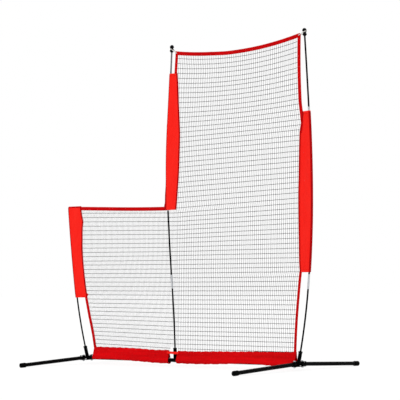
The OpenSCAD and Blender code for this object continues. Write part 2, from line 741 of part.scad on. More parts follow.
// Outline of a band along a line
function band(line) = let (n = len(line) - 1,
        normals = [for (k = [0 : n])
            let (d = line[min(k + 1, n)] - line[max(k - 1, 0)]) [-d[1], d[0]] / norm(d)])
    concat([for (k = [0 : n]) line[k] + normals[k] * half_w],
        [for (k = [n : -1 : 0]) line[k] - normals[k] * half_w]);

// A flat piece behind the poles, and a cutter for such pieces
module slab(y, t, points) translate([0, y + t, 0]) rotate([90, 0, 0]) linear_extrude(t)
    polygon(points);
module cutter(points) slab(net_mid_y - binding_t, 2 * binding_t, points);

// A line's points as [height, distance across], for lookup by height
function by_height(line) = [for (q = line) [q[1], q[0]]];
// Point of a panel at the share u across it and v up it, inside net_edge, and moved by [du, dv].
// The left and right edges are lists of [height, distance across] from the foot up, and the top
// edge is a line from left to right.
function net_point(left, right, top, u, v, du, dv) = let (
        foot = hem_top + net_edge,
        x0 = lookup(foot, left),
        x1 = lookup(foot, right),
        top_z = lookup(x0 + (x1 - x0) * u, top) - net_edge,
        z = foot + (top_z - foot) * v + dv,
        a = lookup(z, left) + net_edge,
        b = lookup(z, right) - net_edge)
    [a + (b - a) * u + du, z];
// Corners of an opening between the shares u0 and u1, v0 and v1, less half a strand at each side
// that has a neighbour
function opening(left, right, top, u0, u1, v0, v1) = let (
        e = strand_w / 2,
        l = u0 > 0 ? e : 0,
        r = u1 < 1 ? e : 0,
        d = v0 > 0 ? e : 0,
        t = v1 < 1 ? e : 0)
    [net_point(left, right, top, u0, v0, l, d), net_point(left, right, top, u1, v0, -r, d),
    net_point(left, right, top, u1, v1, -r, -t), net_point(left, right, top, u0, v1, l, -t)];

// A plain grid of openings, which stands for the netting's fine mesh
module openings(left, right, top, across, up)
    for (i = [0 : across - 1], j = [0 : up - 1])
        cutter(opening(left, right, top, i / across, (i + 1) / across, j / up, (j + 1) / up));

// A panel of netting, cut off where the bindings take over
module netting(outline, lines) color("#3a3a3c") difference() {
    slab(net_y, net_t, outline);
    for (line = lines) cutter(band(line));
    children();
}

module tall_netting() place() netting(concat(
    [[split_x, hem_top], [hem_x1 - half_w, hem_top]], inner(right_lower_line), right_sewn,
    inner(tall_right_line), [tall_right_corner], reversed(inner(tall_top_line)), [tall_left_corner],
    reversed(inner(tall_left_line)), reversed(centre_seam)),
    [right_lower_line, tall_right_line, tall_top_line, tall_left_line])
    openings(
        by_height(concat([[split_x, hem_top]], centre_seam,
            shifted(inner(tall_left_line), [half_w, 0]))),
        by_height(concat(shifted(first(right_lower_line, steps - 1), [-half_w, 0]), right_sewn,
            shifted(inner(tall_right_line), [-half_w, 0]))),
        shifted(tall_top_line, [0, -half_w]),
        tall_openings_across, tall_openings_up);

module low_netting() place() difference() {
    low_end_x = centre_sleeve_foot[0] - sleeve_out_r;
    netting(concat(
        [[hem_x0 + half_w, hem_top], [split_x, hem_top],
        [split_x, centre_sleeve_foot[1] - foot_gap],
        [centre_sleeve_foot[0] - sleeve_out_r - foot_gap, centre_sleeve_foot[1] - foot_gap]],
        [last(low_top_line)], reversed(inner(low_top_line)), reversed(left_seam),
        reversed(inner(left_lower_line))),
        [low_top_line, left_lower_line])
        openings(
            by_height(concat(shifted(first(left_lower_line, steps - 1), [half_w, 0]), left_seam)),
            [[hem_top, split_x], [centre_sleeve_foot[1], split_x]],
            concat(shifted(low_top_line, [0, -half_w]),
                [[low_end_x, centre_sleeve_foot[1]], [split_x, centre_sleeve_foot[1]]]),
            low_openings_across, low_openings_up);
    // Room for the centre socket and its liner's collar
    translate([centre_hub_x - collar_d / 2 - socket_gap, 0, 0])
        cube([collar_d + 2 * socket_gap, 2 * net_y, crossbar_z + socket_l + collar_h + socket_gap]);
}

// Outline of a sleeve's flat web, from its tunnel to the netting
function web(p, in, seam, s0, s1) = concat(
    beside(p, in, [web_in, web_in, web_in], s0, s1), reversed(seam));

// Height of the band that joins two stretches of a sleeve
sleeve_band = 3;

// A fabric sleeve: a tunnel round the pole, closed above if top is over 0, and its web
module sleeve(p, in, seam, s0, s1, top = 0) red_fabric() {
    pole_run(p, s0, s1) ring(sleeve_out_r, sleeve_r);
    joint_bands(p, s0, s1, sleeve_band) ring(sleeve_out_r + rod_clear, sleeve_r - rod_clear);
    if (top > 0) on_pole(p, s1) translate([0, 0, -rod_clear])
        cylinder(r = sleeve_out_r + rod_clear, h = top + rod_clear);
    slab(net_y, net_t, web(p, in, seam, s0, s1));
}

module right_sleeve() place()
    sleeve(right_pole, -1, right_seam, right_sleeve_from, right_sleeve_to);
module centre_sleeve() place()
    sleeve(centre_pole, 1, centre_seam, centre_sleeve_from, centre_sleeve_to);
module left_sleeve() place()
    sleeve(left_pole, 1, left_seam, left_sleeve_from, left_sleeve_to, sleeve_t);

// A binding along a line, folded over the netting's edge, and cut off by its children
module binding(line) place() red_tape() difference() {
    slab(net_mid_y - binding_t / 2, binding_t, band(line));
    children();
}

// Hole for a grommet in the corner q of the net
module grommet_hole(q) translate([q[0], net_mid_y, q[1]]) rotate([90, 0, 0])
    cylinder(d = grommet_bore + 2 * grommet_wall, h = 2 * binding_w, center = true);

right_grommet = tall_right_corner;
centre_grommet = tall_left_corner;

module tall_top_binding() binding(tall_top_line)
    for (q = [right_grommet, centre_grommet]) grommet_hole(q);
module tall_right_binding() binding(tall_right_line) {
    cutter(web(right_pole, -1, right_seam, right_sleeve_from, right_sleeve_to));
    cutter(band(tall_top_line));
}
module tall_left_binding() binding(tall_left_line) {
    cutter(web(centre_pole, 1, centre_seam, centre_sleeve_from, centre_sleeve_to));
    cutter(band(tall_top_line));
}
module low_top_binding() binding(low_top_line)
    cutter(web(left_pole, 1, left_seam, left_sleeve_from, left_sleeve_to));
module right_lower_binding() binding(right_lower_line) below_hem_top();
module left_lower_binding() binding(left_lower_line) {
    below_hem_top();
    cutter(web(left_pole, 1, left_seam, left_sleeve_from, left_sleeve_to));
}

/* Hem */

// Section of the hem across the crossbar: a round foot drawn up to the netting
function hem_section(r, top, w) = concat(
    [for (a = [170 : 10 : 370]) [r * cos(a), crossbar_z + r * sin(a)]],
    [[net_mid_y + w / 2, top], [net_mid_y - w / 2, top]]);

module below_hem_top() cube([hub_span, 2 * net_mid_y, hem_top]);

module hem(x0, x1) red_tape() difference() {
    translate([x0, 0, 0]) rotate([90, 0, 90]) linear_extrude(x1 - x0)
        polygon(hem_section(hem_r, hem_top, hem_top_w));
    translate([x0 - 1, 0, 0]) rotate([90, 0, 90]) linear_extrude(x1 - x0 + 2)
        polygon(hem_section(hem_r - hem_t, hem_top - 2 * hem_t, hem_top_w - 2 * hem_t));
}

module left_hem() place() hem(hem_x0, centre_hub_x - hem_slot_left);
module right_hem() place() hem(centre_hub_x + hem_slot_right, hem_x1);

// Front face of the hem at the height z
function hem_front(z) = let (t = (z - crossbar_z) / (hem_top - crossbar_z))
    -hem_r * (1 - t) + (net_mid_y - hem_top_w / 2) * t;

// Thickness of the strap, its clearance, and its flat length beside the slot
strap_t = 1.2;
strap_clear = 0.3;
strap_flat = 4;

// A strap that joins the two hems in front of the centre socket
module hem_strap() place() red_fabric() translate([0, 0, strap_z]) linear_extrude(strap_w) {
    x0 = centre_hub_x - hem_slot_left - strap_over;
    x1 = centre_hub_x + hem_slot_right + strap_over;
    y_end = hem_front(strap_z) - strap_clear;
    y_mid = -socket_d / 2 - 2 * strap_clear;
    bow = [[x0, y_end], [centre_hub_x - hem_slot_left, y_end],
        [centre_hub_x - socket_d / 2, y_mid], [centre_hub_x + socket_d / 2, y_mid],
        [centre_hub_x + hem_slot_right + strap_flat, y_end], [x1, y_end]];
    polygon(concat(bow, reversed(shifted(bow, [0, -strap_t]))));
}

/* Elastic loops and grommets */

function unit(v) = v / norm(v);

// Place of a loop in its groove, as a share of the groove's width, and its clearance there
loop_seat = 0.56;
loop_clear = 0.3;
// Wall of a grommet's neck, and the thickness of its flanges
grommet_wall = 1;
grommet_flange_t = 0.45;

// Points of a loop: round the groove at a, and through the net's corner at b
function loop_points(a, b, r_a, r_b) = let (
        side = b[0] > a[0] ? 1 : -1,
        out = [side, 0, -tan(loop_tilt)],
        y = [0, 1, 0],
        w = unit(b - a))
    concat(
        [for (k = [80 : 20 : 280]) a + r_a * (cos(k) * out + sin(k) * y)],
        [for (k = [-80 : 20 : 80]) b - w * r_b + r_b * (cos(k) * w + sin(k) * y)]);

// A closed tube through the points, with eight sides
module closed_tube(pts, r) {
    n = len(pts);
    sides = 8;
    rings = [for (k = [0 : n - 1]) let (
            t = unit(pts[(k + 1) % n] - pts[(k + n - 1) % n]),
            b = unit(cross(t, [0, 0, 1])),
            u = cross(b, t))
        for (j = [0 : sides - 1])
            pts[k] + r * (cos(360 * j / sides) * b + sin(360 * j / sides) * u)];
    faces = [for (k = [0 : n - 1], j = [0 : sides - 1]) let (
            k2 = (k + 1) % n,
            j2 = (j + 1) % sides)
        [k * sides + j, k * sides + j2, k2 * sides + j2, k2 * sides + j]];
    polyhedron(rings, faces);
}

module elastic_loop(p, corner) color("#d8d8d4") {
    a = along(p, pole_l(p) - ball_bore_l + cone_l + groove_w * loop_seat);
    closed_tube(loop_points([a[0], 0, a[1]], [corner[0], net_mid_y, corner[1]],
        groove_d / 2 + loop_d / 2 + loop_clear, loop_end_r), loop_d / 2);
}

module right_elastic_loop() place() elastic_loop(right_pole, right_grommet);
module centre_elastic_loop() place() elastic_loop(centre_pole, centre_grommet);

module corner_grommets() place() color("#b9bcc0")
    for (q = [right_grommet, centre_grommet])
        translate([q[0], net_mid_y + grommet_t / 2, q[1]]) rotate([90, 0, 0]) difference() {
            union() {
                cylinder(d = grommet_bore + 2 * grommet_wall - play, h = grommet_t);
                for (z = [0, grommet_t - grommet_flange_t]) translate([0, 0, z])
                    cylinder(d = grommet_d, h = grommet_flange_t);
            }
            translate([0, 0, -1]) cylinder(d = grommet_bore, h = grommet_t + 2);
        }

left_hub();
centre_hub();
right_hub();
left_crossbar();
right_crossbar();
socket_liners();
left_front_leg();
left_back_leg();
right_front_leg();
right_back_leg();
left_front_cap();
left_back_cap();
right_front_cap();
right_back_cap();
leg_pivot_bolts();
leg_pivot_nuts();
left_button();
centre_left_button();
centre_right_button();
right_button();
left_button_spring();
centre_left_button_spring();
centre_right_button_spring();
right_button_spring();
right_pole_section_1();
right_pole_section_2();
right_pole_section_3();
right_pole_section_4();
centre_pole_section_1();
centre_pole_section_2();
centre_pole_section_3();
centre_pole_section_4();
left_pole_section_1();
left_pole_section_2();
right_ferrules();
centre_ferrules();
left_ferrule();
pole_shock_cords();
right_ball_cap();
centre_ball_cap();
left_pole_tip();
tall_netting();
low_netting();
right_sleeve();
centre_sleeve();
left_sleeve();
left_hem();
right_hem();
hem_strap();
tall_top_binding();
tall_right_binding();
tall_left_binding();
low_top_binding();
right_lower_binding();
left_lower_binding();
right_elastic_loop();
centre_elastic_loop();
corner_grommets();
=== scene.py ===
# %% [markdown]
# # A pitching net, dressed in Blender
#
# The net is a tall panel and a low panel of black netting, on three bowed fibreglass poles. The
# poles stand in sockets on a black steel crossbar, and four folding legs hold it up. All the hard
# pieces come ready from the CAD model and only get their finishes here. The fabric, the netting,
# the ball caps and the elastic loops come from CAD as plain blocks, so this script makes their
# real forms, each in the place that its block holds.

# %% Load the frame
import random
from dataclasses import dataclass
from math import cos, pi, radians, sin, tan

import bpy
import numpy as np
from mathutils import Matrix, Vector
from mathutils.bvhtree import BVHTree


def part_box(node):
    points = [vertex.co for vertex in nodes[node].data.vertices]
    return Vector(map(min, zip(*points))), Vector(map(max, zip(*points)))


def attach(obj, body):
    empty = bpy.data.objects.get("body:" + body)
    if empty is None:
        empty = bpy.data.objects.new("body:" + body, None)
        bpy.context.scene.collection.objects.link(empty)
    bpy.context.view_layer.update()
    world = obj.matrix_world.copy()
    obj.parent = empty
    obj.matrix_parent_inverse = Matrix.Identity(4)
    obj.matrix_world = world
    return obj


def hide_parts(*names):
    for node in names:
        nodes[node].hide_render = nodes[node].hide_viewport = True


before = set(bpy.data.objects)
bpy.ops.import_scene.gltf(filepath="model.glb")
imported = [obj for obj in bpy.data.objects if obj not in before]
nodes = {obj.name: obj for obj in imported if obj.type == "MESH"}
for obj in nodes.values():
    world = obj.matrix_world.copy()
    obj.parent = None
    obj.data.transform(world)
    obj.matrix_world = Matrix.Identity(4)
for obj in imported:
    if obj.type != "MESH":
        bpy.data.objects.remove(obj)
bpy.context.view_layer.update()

# %% [markdown]
# ## The camera
#
# A camera is easiest to place by the point that it looks at, its distance from it and two angles
# round it. The lens here is long and the camera stands far off, so the uprights stay almost
# parallel. The small roll is the tilt of a camera held by hand.

# %% Camera
LOOK_AT = Vector((0.1514, 0.0, 1.0937))
CAMERA_DISTANCE = 10.832
CAMERA_AZIMUTH = 0.71802
CAMERA_ELEVATION = -0.04583
CAMERA_ROLL = -0.01301
LENS_MM = 148.62
SENSOR_MM = 36.0


def add_object(name, data):
    """Puts a mesh, a lamp or a camera into the scene."""
    made = bpy.data.objects.new(name, data)
    bpy.context.scene.collection.objects.link(made)
    return made


def direction(azimuth, elevation):
    """The unit vector from the net towards a place, by that place's two angles."""
    level = cos(elevation)
    return Vector((sin(azimuth) * level, -cos(azimuth) * level, sin(elevation)))


def add_camera():
    outward = direction(CAMERA_AZIMUTH, CAMERA_ELEVATION)
    right = Vector((cos(CAMERA_AZIMUTH), sin(CAMERA_AZIMUTH), 0.0))
    up = outward.cross(right)
    rolled_right = cos(CAMERA_ROLL) * right + sin(CAMERA_ROLL) * up
    rolled_up = cos(CAMERA_ROLL) * up - sin(CAMERA_ROLL) * right
    axes = Matrix((rolled_right, rolled_up, outward)).transposed()
    camera = add_object("camera", bpy.data.cameras.new("camera"))
    camera.matrix_world = Matrix.Translation(LOOK_AT + CAMERA_DISTANCE * outward) @ axes.to_4x4()
    camera.data.sensor_width = SENSOR_MM
    camera.data.lens = LENS_MM
    bpy.context.scene.camera = camera
    return camera


print("camera at", [round(c, 3) for c in add_camera().matrix_world.translation])

# %% [markdown]
# ## Writing nodes as sums
#
# A finish is a small sum of patterns, and Blender draws such sums as nodes. One class wraps a
# node's output, so that `a * 0.5 + b` adds the Math nodes by itself. A second class wraps a whole
# tree of nodes and adds every other kind of node by one method.

# %% Wires and graphs
class Wire:
    """An output socket on which numbers can be worked out."""

    def __init__(self, graph, socket):
        self.graph = graph
        self.socket = socket

    def maths(self, operation, *values):
        return self.graph.node("ShaderNodeMath", {"operation": operation}, dict(enumerate(values)))

    def __add__(self, other):
        return self.maths("ADD", self, other)

    def __rsub__(self, other):
        return self.maths("SUBTRACT", other, self)

    def __mul__(self, other):
        return self.maths("MULTIPLY", self, other)

    __radd__ = __add__
    __rmul__ = __mul__


class Graph:
    """A tree of nodes."""

    def __init__(self, tree):
        self.tree = tree

    def plug(self, socket, value):
        """Sets an input to a value, or links a wire to it."""
        if isinstance(value, Wire):
            self.tree.links.new(value.socket, socket)
        else:
            socket.default_value = value

    def node(self, kind, settings=None, inputs=None, output=0):
        """Adds a node: its settings first, then the values or wires of its inputs."""
        made = self.tree.nodes.new(kind)
        for name, value in (settings or {}).items():
            setattr(made, name, value)
        for name, value in (inputs or {}).items():
            self.plug(made.inputs[name], value)
        return Wire(self, made.outputs[output])

    def show_white(self, own, white, share, output):
        """Lets the camera and gloss see the white shader, by a share, in place of the own one."""
        camera = self.node("ShaderNodeLightPath", output="Is Camera Ray")
        glossy = Wire(self, camera.socket.node.outputs["Is Glossy Ray"])
        seen = camera.maths("MAXIMUM", camera, glossy) * share
        mixed = self.node("ShaderNodeMixShader", None, {0: seen, 1: own, 2: white})
        self.plug(self.tree.nodes[output].inputs["Surface"], mixed)


# %% [markdown]
# ## Light
#
# A studio for a net wants even light: a white world gives most of it, and two wide suns add a
# little shape. Together they are set so that a colour renders about as it is written. The world
# looks plain white to the camera, and to rays that bounce off gloss, whatever light it gives.

# %% World and lamps
WORLD_LIGHT = 0.67
WHITE = (1, 1, 1, 1)
# Strength, azimuth, elevation and width of each sun, the last three in degrees
SUNS = {"key_light": (1.08, 20, 45, 30), "back_light": (0.65, 205, 40, 40)}


def add_world():
    world = bpy.data.worlds.new("studio")
    world.use_nodes = True
    graph = Graph(world.node_tree)
    light = world.node_tree.nodes["Background"]
    graph.plug(light.inputs["Color"], WHITE)
    graph.plug(light.inputs["Strength"], WORLD_LIGHT)
    white = graph.node("ShaderNodeBackground", None, {"Color": WHITE, "Strength": 1.0})
    graph.show_white(Wire(graph, light.outputs[0]), white, 1.0, "World Output")
    bpy.context.scene.world = world


def add_sun(name, strength, *angles):
    azimuth, elevation, width = map(radians, angles)
    sun = add_object(name, bpy.data.lights.new(name, "SUN"))
    sun.data.energy = strength
    sun.data.angle = width
    sun.rotation_euler = direction(azimuth, elevation).to_track_quat("Z", "Y").to_euler()


add_world()
for name, how in SUNS.items():
    add_sun(name, *how)
bpy.context.scene.view_settings.view_transform = "Standard"
print("world light:", WORLD_LIGHT, "suns:", *SUNS)

# %% [markdown]
# ## A material and its patterns
#
# Every finish is one Principled shader, with patterns in metres, so a weave has its true size on
# a large and on a small piece. Noise makes blotches, and stretched noise makes fibres. A ramp
# picks out the part of a pattern that counts as dust or wear, and a bump turns it into relief.

# %% Finish
WAVE_BANDS = 0.314159  # a Wave texture's bands are this far apart at a scale of 1
# A Mix node has inputs of the same name for numbers and for colours, so colours go by place
MIX_SHARE, MIX_FIRST, MIX_SECOND, MIX_COLOUR = 0, 6, 7, 2
EVEN = (1.0, 1.0, 1.0)
FINISHES = {}


def colour(code):
    """A linear colour with alpha from a web colour such as "c4101a"."""
    parts = [int(code[i:i + 2], 16) / 255 for i in (0, 2, 4)]
    linear = [p / 12.92 if p <= 0.04045 else ((p + 0.055) / 1.055) ** 2.4 for p in parts]
    return (*linear, 1.0)


class Finish(Graph):
    """A material with one Principled shader, kept in FINISHES by a short key."""

    def __init__(self, key, name, **constants):
        self.material = bpy.data.materials.new(name)
        FINISHES[key] = self.material
        self.material.use_nodes = True
        super().__init__(self.material.node_tree)
        self.shader = self.tree.nodes["Principled BSDF"]
        for socket, value in constants.items():
            self.feed(socket.replace("_", " "), value)
        self.place = self.node("ShaderNodeTexCoord", output="Object")

    def feed(self, socket, value):
        self.plug(self.shader.inputs[socket], value)

    def paint(self, first, second, share):
        """Colours the piece from one web colour to another, as share goes from 0 to 1."""
        self.feed("Base Color", self.node("ShaderNodeMix", {"data_type": "RGBA"}, {
            MIX_SHARE: share, MIX_FIRST: colour(first), MIX_SECOND: colour(second)}, MIX_COLOUR))

    def bump(self, height, depth, strength=1.0):
        """Bumps of the given depth in metres, where height goes from 0 to 1."""
        self.feed("Normal", self.node("ShaderNodeBump", None, {
            "Height": height, "Distance": depth, "Strength": strength}))

    def stretched(self, scale):
        """The piece's own coordinates, multiplied by a factor along each axis."""
        return self.node("ShaderNodeVectorMath", {"operation": "MULTIPLY"},
                         {0: self.place, 1: scale})

    def noise(self, size, detail=3.0, scale=EVEN):
        """Cloudy noise from 0 to 1, whose blotches are about size metres across."""
        return self.node("ShaderNodeTexNoise", None, {
            "Vector": self.stretched(scale), "Scale": 1.0 / size, "Detail": detail})

    def ramp(self, wire, start, end, low=0.0, high=1.0):
        """Numbers of a wire taken from start..end to low..high, and held there."""
        return self.node("ShaderNodeMapRange", {"clamp": True}, {
            "Value": wire, "From Min": start, "From Max": end, "To Min": low, "To Max": high})

    def braid(self, per_metre, scale=EVEN):
        """The cells of a braided cover: 0 in the middle of a strand, and more towards its rim."""
        return self.node("ShaderNodeTexVoronoi", {"feature": "F1"}, {
            "Vector": self.stretched(scale), "Scale": per_metre})

    def ribs(self, axis, pitch):
        """Rounded ribs across one axis, from 0 to 1, like threads side by side."""
        return self.node("ShaderNodeTexWave", {"bands_direction": axis, "wave_profile": "SIN"}, {
            "Vector": self.place, "Scale": WAVE_BANDS / pitch, "Distortion": 0.4,
            "Detail": 1.0, "Detail Scale": 2.0})


# %% [markdown]
# ## Hard finishes
#
# The steel frame is powder coated: a matt black skin with the fine dimples of orange peel and a
# little dust. Rubber is duller and rougher, and moulded plastic shows faint flow marks.

# %% Frame, rubber and plastic
finish = Finish("frame", "black_powder_coat", Specular_IOR_Level=0.02)
dust = finish.ramp(finish.noise(0.11, 5.0), 0.5, 0.8)
peel = finish.noise(0.0012, 1.0)
finish.paint("010102", "0c0c0d", dust * 0.5)
finish.feed("Roughness", 0.36 + 0.18 * dust + 0.06 * peel)
finish.bump(peel, 0.00012)

finish = Finish("rubber", "black_rubber", Specular_IOR_Level=0.02)
scuff = finish.ramp(finish.noise(0.02, 6.0), 0.52, 0.72)
finish.paint("020202", "101011", scuff * 0.4)
finish.feed("Roughness", 0.62 + 0.2 * scuff)
finish.bump(finish.noise(0.0007, 2.0), 0.0001)

finish = Finish("plastic", "moulded_black_plastic", Specular_IOR_Level=0.05)
flow = finish.noise(0.03)
finish.paint("020203", "09090b", flow)
finish.feed("Roughness", finish.ramp(flow, 0.0, 1.0, 0.3, 0.46))
finish.bump(finish.noise(0.0005, 1.0), 0.00005)
print("finishes:", *FINISHES)

# %% [markdown]
# ## Poles and metals
#
# The fibreglass rods are drawn through a die, so their grain runs along them. The ferrules are
# brushed along their length too, and bolts and springs are bare metal with a mottled face. The
# eyelets in the net's corners are enamelled red, and the small chips in the enamel dull it.

# %% Rods, metals and enamel
def fibreglass(key, name, dark, light):
    finish = Finish(key, name, Specular_IOR_Level=0.02)
    fibres = finish.noise(0.0009, 2.0, (1.0, 1.0, 0.02))
    wear = finish.ramp(finish.noise(0.06, 4.0), 0.45, 0.75)
    finish.paint(dark, light, fibres * 0.6 + wear * 0.4)
    finish.feed("Roughness", 0.26 + 0.22 * fibres + 0.1 * wear)
    finish.bump(fibres, 0.00008)


def metal(key, name, dark, light, rough, grain_scale=EVEN):
    finish = Finish(key, name, Metallic=1.0)
    grain = finish.noise(0.0016, 3.0, grain_scale)
    finish.paint(dark, light, finish.noise(0.012, 4.0))
    finish.feed("Roughness", rough + 0.16 * grain)
    finish.bump(grain, 0.00004)


fibreglass("rod", "black_fibreglass", "010102", "0b0b0d")
# A grey rod for the centre pole's top section: the grey is a painted reflection of the bright
# studio
fibreglass("painted_reflection_rod", "grey_painted_reflection_fibreglass", "56585b", "8c8e90")
metal("ferrule", "brushed_aluminium", "a4a7ab", "d8dadd", 0.24, (1.0, 1.0, 0.05))
metal("zinc", "zinc_plate", "a8abae", "d0d3d5", 0.28)
metal("spring", "blue_spring_steel", "54585e", "7d828a", 0.2, (1.0, 0.1, 1.0))

finish = Finish("enamel", "red_enamelled_eyelet", Specular_IOR_Level=0.25)
chips = finish.noise(0.002)
finish.paint("a80408", "cc0a0c", chips)
finish.feed("Roughness", 0.3 + 0.2 * chips)
finish.bump(chips, 0.00003)
print("finishes:", *FINISHES)

# %% [markdown]
# ## Cords
#
# The netting's twine, the elastic of the loops and the cover of the cords inside the poles are all
# braided. A Voronoi pattern gives the strands: its cells are the strands' backs, and the lines
# between them are the grooves. The elastic and the cord cover are painted darker in the grooves,
# as painted shade.

# %% Braided finishes
finish = Finish("twine", "braided_black_twine", Specular_IOR_Level=0.1)
braid = finish.braid(1100.0)
finish.paint("0a0a0c", "242428", finish.noise(0.3) * 0.5 + braid * 0.5)
finish.feed("Roughness", 0.6 + 0.25 * braid)
finish.bump(1 - braid, 0.0003)

finish = Finish("elastic", "pale_elastic", Sheen_Weight=0.2)
braid = finish.braid(700.0)
# Darker towards each strand's rim: painted shade in the grooves
finish.paint("f2f1ec", "b9b8b2", braid)
finish.feed("Roughness", 0.65 + 0.2 * braid)
finish.bump(1 - braid, 0.0004)

finish = Finish("cord", "grey_cord_cover", Roughness=0.85)
braid = finish.braid(900.0, (1.0, 1.0, 0.45))
# Darker towards each strand's rim: painted shade in the grooves
finish.paint("4a4a4d", "232325", braid)
finish.bump(1 - braid, 0.0003)
print("finishes:", *FINISHES)

# %% [markdown]
# ## Woven and sewn finishes
#
# Every fabric here is a plain weave, so two sets of fine ribs, one up and one across, give the
# bumps. Larger noise stands for the slubs and creases that make real cloth look uneven, and it is
# stretched the way that each piece is pulled. The slubs tint the cloth at random, and the colour
# also darkens in the hollows of the creases and between the threads, as painted shade. The sleeves
# and the thread have a trace of sheen, the pale edge that fibres have when light grazes them.

# %% Fabrics
FINE_WEAVE = 0.0011
TAPE_WEAVE = 0.0016
THREAD_WEAVE = 0.0006


def woven(key, name, dark, light, rough, sheen, weave, creases=EVEN, run=(1.0, 1.0, 0.12)):
    finish = Finish(key, name, Sheen_Weight=sheen, Sheen_Roughness=0.4, Specular_IOR_Level=0.04)
    threads = finish.ribs("Z", weave) * 0.5 + finish.ribs("X", weave) * 0.5
    slubs = finish.noise(0.012, 3.0, run)
    folds = finish.noise(0.09, 4.0, creases)
    slubs_and_crease_shade = finish.ramp(slubs * 0.35 + folds * 0.65, 0.32, 0.68)
    # Darker in the crease hollows and between threads: painted shade, on top of the slubs' own tone
    finish.paint(dark, light, slubs_and_crease_shade * 0.8 + threads * 0.2)
    finish.feed("Roughness", rough + 0.12 * threads)
    finish.bump(threads * 0.35 + folds * 2.2, 0.0009, 0.7)


woven("sleeve", "bright_red_fabric", "fa1c14", "ff2a20", 0.6, 0.02, FINE_WEAVE, (1.0, 1.0, 0.3))
woven("tape", "dark_red_tape", "b40002", "d40408", 0.65, 0.0, TAPE_WEAVE)
# This dark red also colours each sleeve's outer band, a strip of painted shade
woven("edging", "dark_red_edging", "9c0004", "bc0408", 0.65, 0.0, TAPE_WEAVE)
woven("hem", "deep_red_fabric", "b00004", "ee040c", 0.62, 0.0, FINE_WEAVE, (0.12, 1.0, 1.8),
      (0.1, 1.0, 1.0))
woven("thread", "red_thread", "d00c10", "ee2018", 0.6, 0.02, THREAD_WEAVE)
print("finishes:", len(FINISHES))

# %% [markdown]
# ## Measuring the frame
#
# The soft pieces have to sit on the hard ones exactly, so nothing is placed by eye. A ray that is
# shot at a CAD block says where the block's edge is. From such rays come the line of each pole,
# the edges of the netting and the height of the hem.

# %% Rays at the CAD blocks
FAR = 4.0
X, Y, Z = 0, 1, 2
EAST = Vector((1, 0, 0))
NORTH = Vector((0, 1, 0))
AXES = (EAST, NORTH, Vector((0, 0, 1)))
trees = {}
blocks = {}


def block(node):
    """Lowest and highest corner of a CAD block, worked out once."""
    if node not in blocks:
        blocks[node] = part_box(node)
    return blocks[node]


def edge(node, axis, side, place):
    """Where a ray along an axis first meets a CAD block, from its low (-1) or high (1) side."""
    if node not in trees:
        mesh = nodes[node].data
        corners = [v.co for v in mesh.vertices]
        trees[node] = BVHTree.FromPolygons(corners, [p.vertices for p in mesh.polygons])
    origin = Vector(place)
    origin[axis] = side * FAR
    hit = trees[node].ray_cast(origin, -side * AXES[axis])[0]
    return None if hit is None else hit[axis]


def smooth_line(samples):
    """A function that reads the line through the samples which met something."""
    met = [(at, value) for at, value in samples if value is not None]
    ats, values = zip(*met)
    return lambda at: float(np.interp(at, ats, values))


# %% Lines of the poles
POLE_SECTIONS = {"right": 4, "centre": 4, "left": 2}
POLE_SAMPLES = 241
POLE_END = 0.002


def pole_line(sections):
    """x of a pole's middle as a function of height, where just one section is met."""
    lowest = min(block(name)[0].z for name in sections) + POLE_END
    highest = max(block(name)[1].z for name in sections) - POLE_END
    samples = []
    for z in np.linspace(lowest, highest, POLE_SAMPLES):
        sides = [edge(name, X, side, (0, 0, z)) for name in sections for side in (-1, 1)]
        met = [x for x in sides if x is not None]
        samples.append((z, sum(met) / 2 if len(met) == 2 else None))
    return smooth_line(samples)


pole_x = {
    pole: pole_line([f"{pole}_pole_section_{k + 1}" for k in range(count)])
    for pole, count in POLE_SECTIONS.items()
}
NET_Y = sum(corner.y for corner in block("tall_netting")) / 2
print("netting plane at y =", round(NET_Y, 5))
for pole in POLE_SECTIONS:
    print(pole, "pole at half a metre up: x =", round(pole_x[pole](0.5), 4))

# %% [markdown]
# ## Cloth and cord as swept shapes
#
# A sleeve, a hem, a tape and a cord are all one flat shape swept along a line, so one function
# builds them: it takes rings of points and skins them with quads. Each ring may differ a little
# from the last, which is how creases and gathers come in. Cloth is swept as a single layer and
# gets its thickness afterwards from a Solidify modifier.

# %% Skinning rings of points
def add_mesh(name, points, faces, finish, slot):
    mesh = bpy.data.meshes.new(name)
    mesh.from_pydata([tuple(map(float, p)) for p in points], [], faces)
    mesh.polygons.foreach_set("use_smooth", [True] * len(mesh.polygons))
    mesh.materials.append(FINISHES[finish])
    mesh.update()
    piece = add_object(name, mesh)
    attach(piece, "base")
    return piece


def skin(rings, closed_ring=True, closed_run=False, ends=False):
    """Points and quads over rings, which all have the same number of points."""
    rings = np.asarray(rings, float)
    count, size = rings.shape[:2]
    points = rings.reshape(-1, 3)
    faces = []
    for k in range(count if closed_run else count - 1):
        a = k * size
        b = (k + 1) % count * size
        for j in range(size if closed_ring else size - 1):
            n = (j + 1) % size
            faces.append((a + j, a + n, b + n, b + j))
    if ends:
        faces.append(tuple(range(size - 1, -1, -1)))
        faces.append(tuple((count - 1) * size + j for j in range(size)))
    return points, faces


def add_swept(name, rings, finish, slot, cloth=0.0, **how):
    """The piece that skinned rings make, as real cloth where a thickness is given."""
    piece = add_mesh(name, *skin(rings, **how), finish, slot)
    if cloth > 0:
        shell = piece.modifiers.new("cloth thickness", "SOLIDIFY")
        shell.thickness = cloth
        shell.offset = -1.0
        shell.use_even_offset = True
    return piece


# %% Round cords
def frames(path, closed=False):
    """A tangent and two normals at each point of a path."""
    path = np.asarray(path, float)
    ahead = np.roll(path, -1, 0)
    behind = np.roll(path, 1, 0)
    if not closed:
        ahead[-1] = path[-1]
        behind[0] = path[0]
    tangent = ahead - behind
    tangent /= np.linalg.norm(tangent, axis=1)[:, None]
    side = np.cross(tangent, NORTH)
    short = np.linalg.norm(side, axis=1) < 1e-6
    side[short] = EAST
    side /= np.linalg.norm(side, axis=1)[:, None]
    return tangent, side, np.cross(side, tangent)


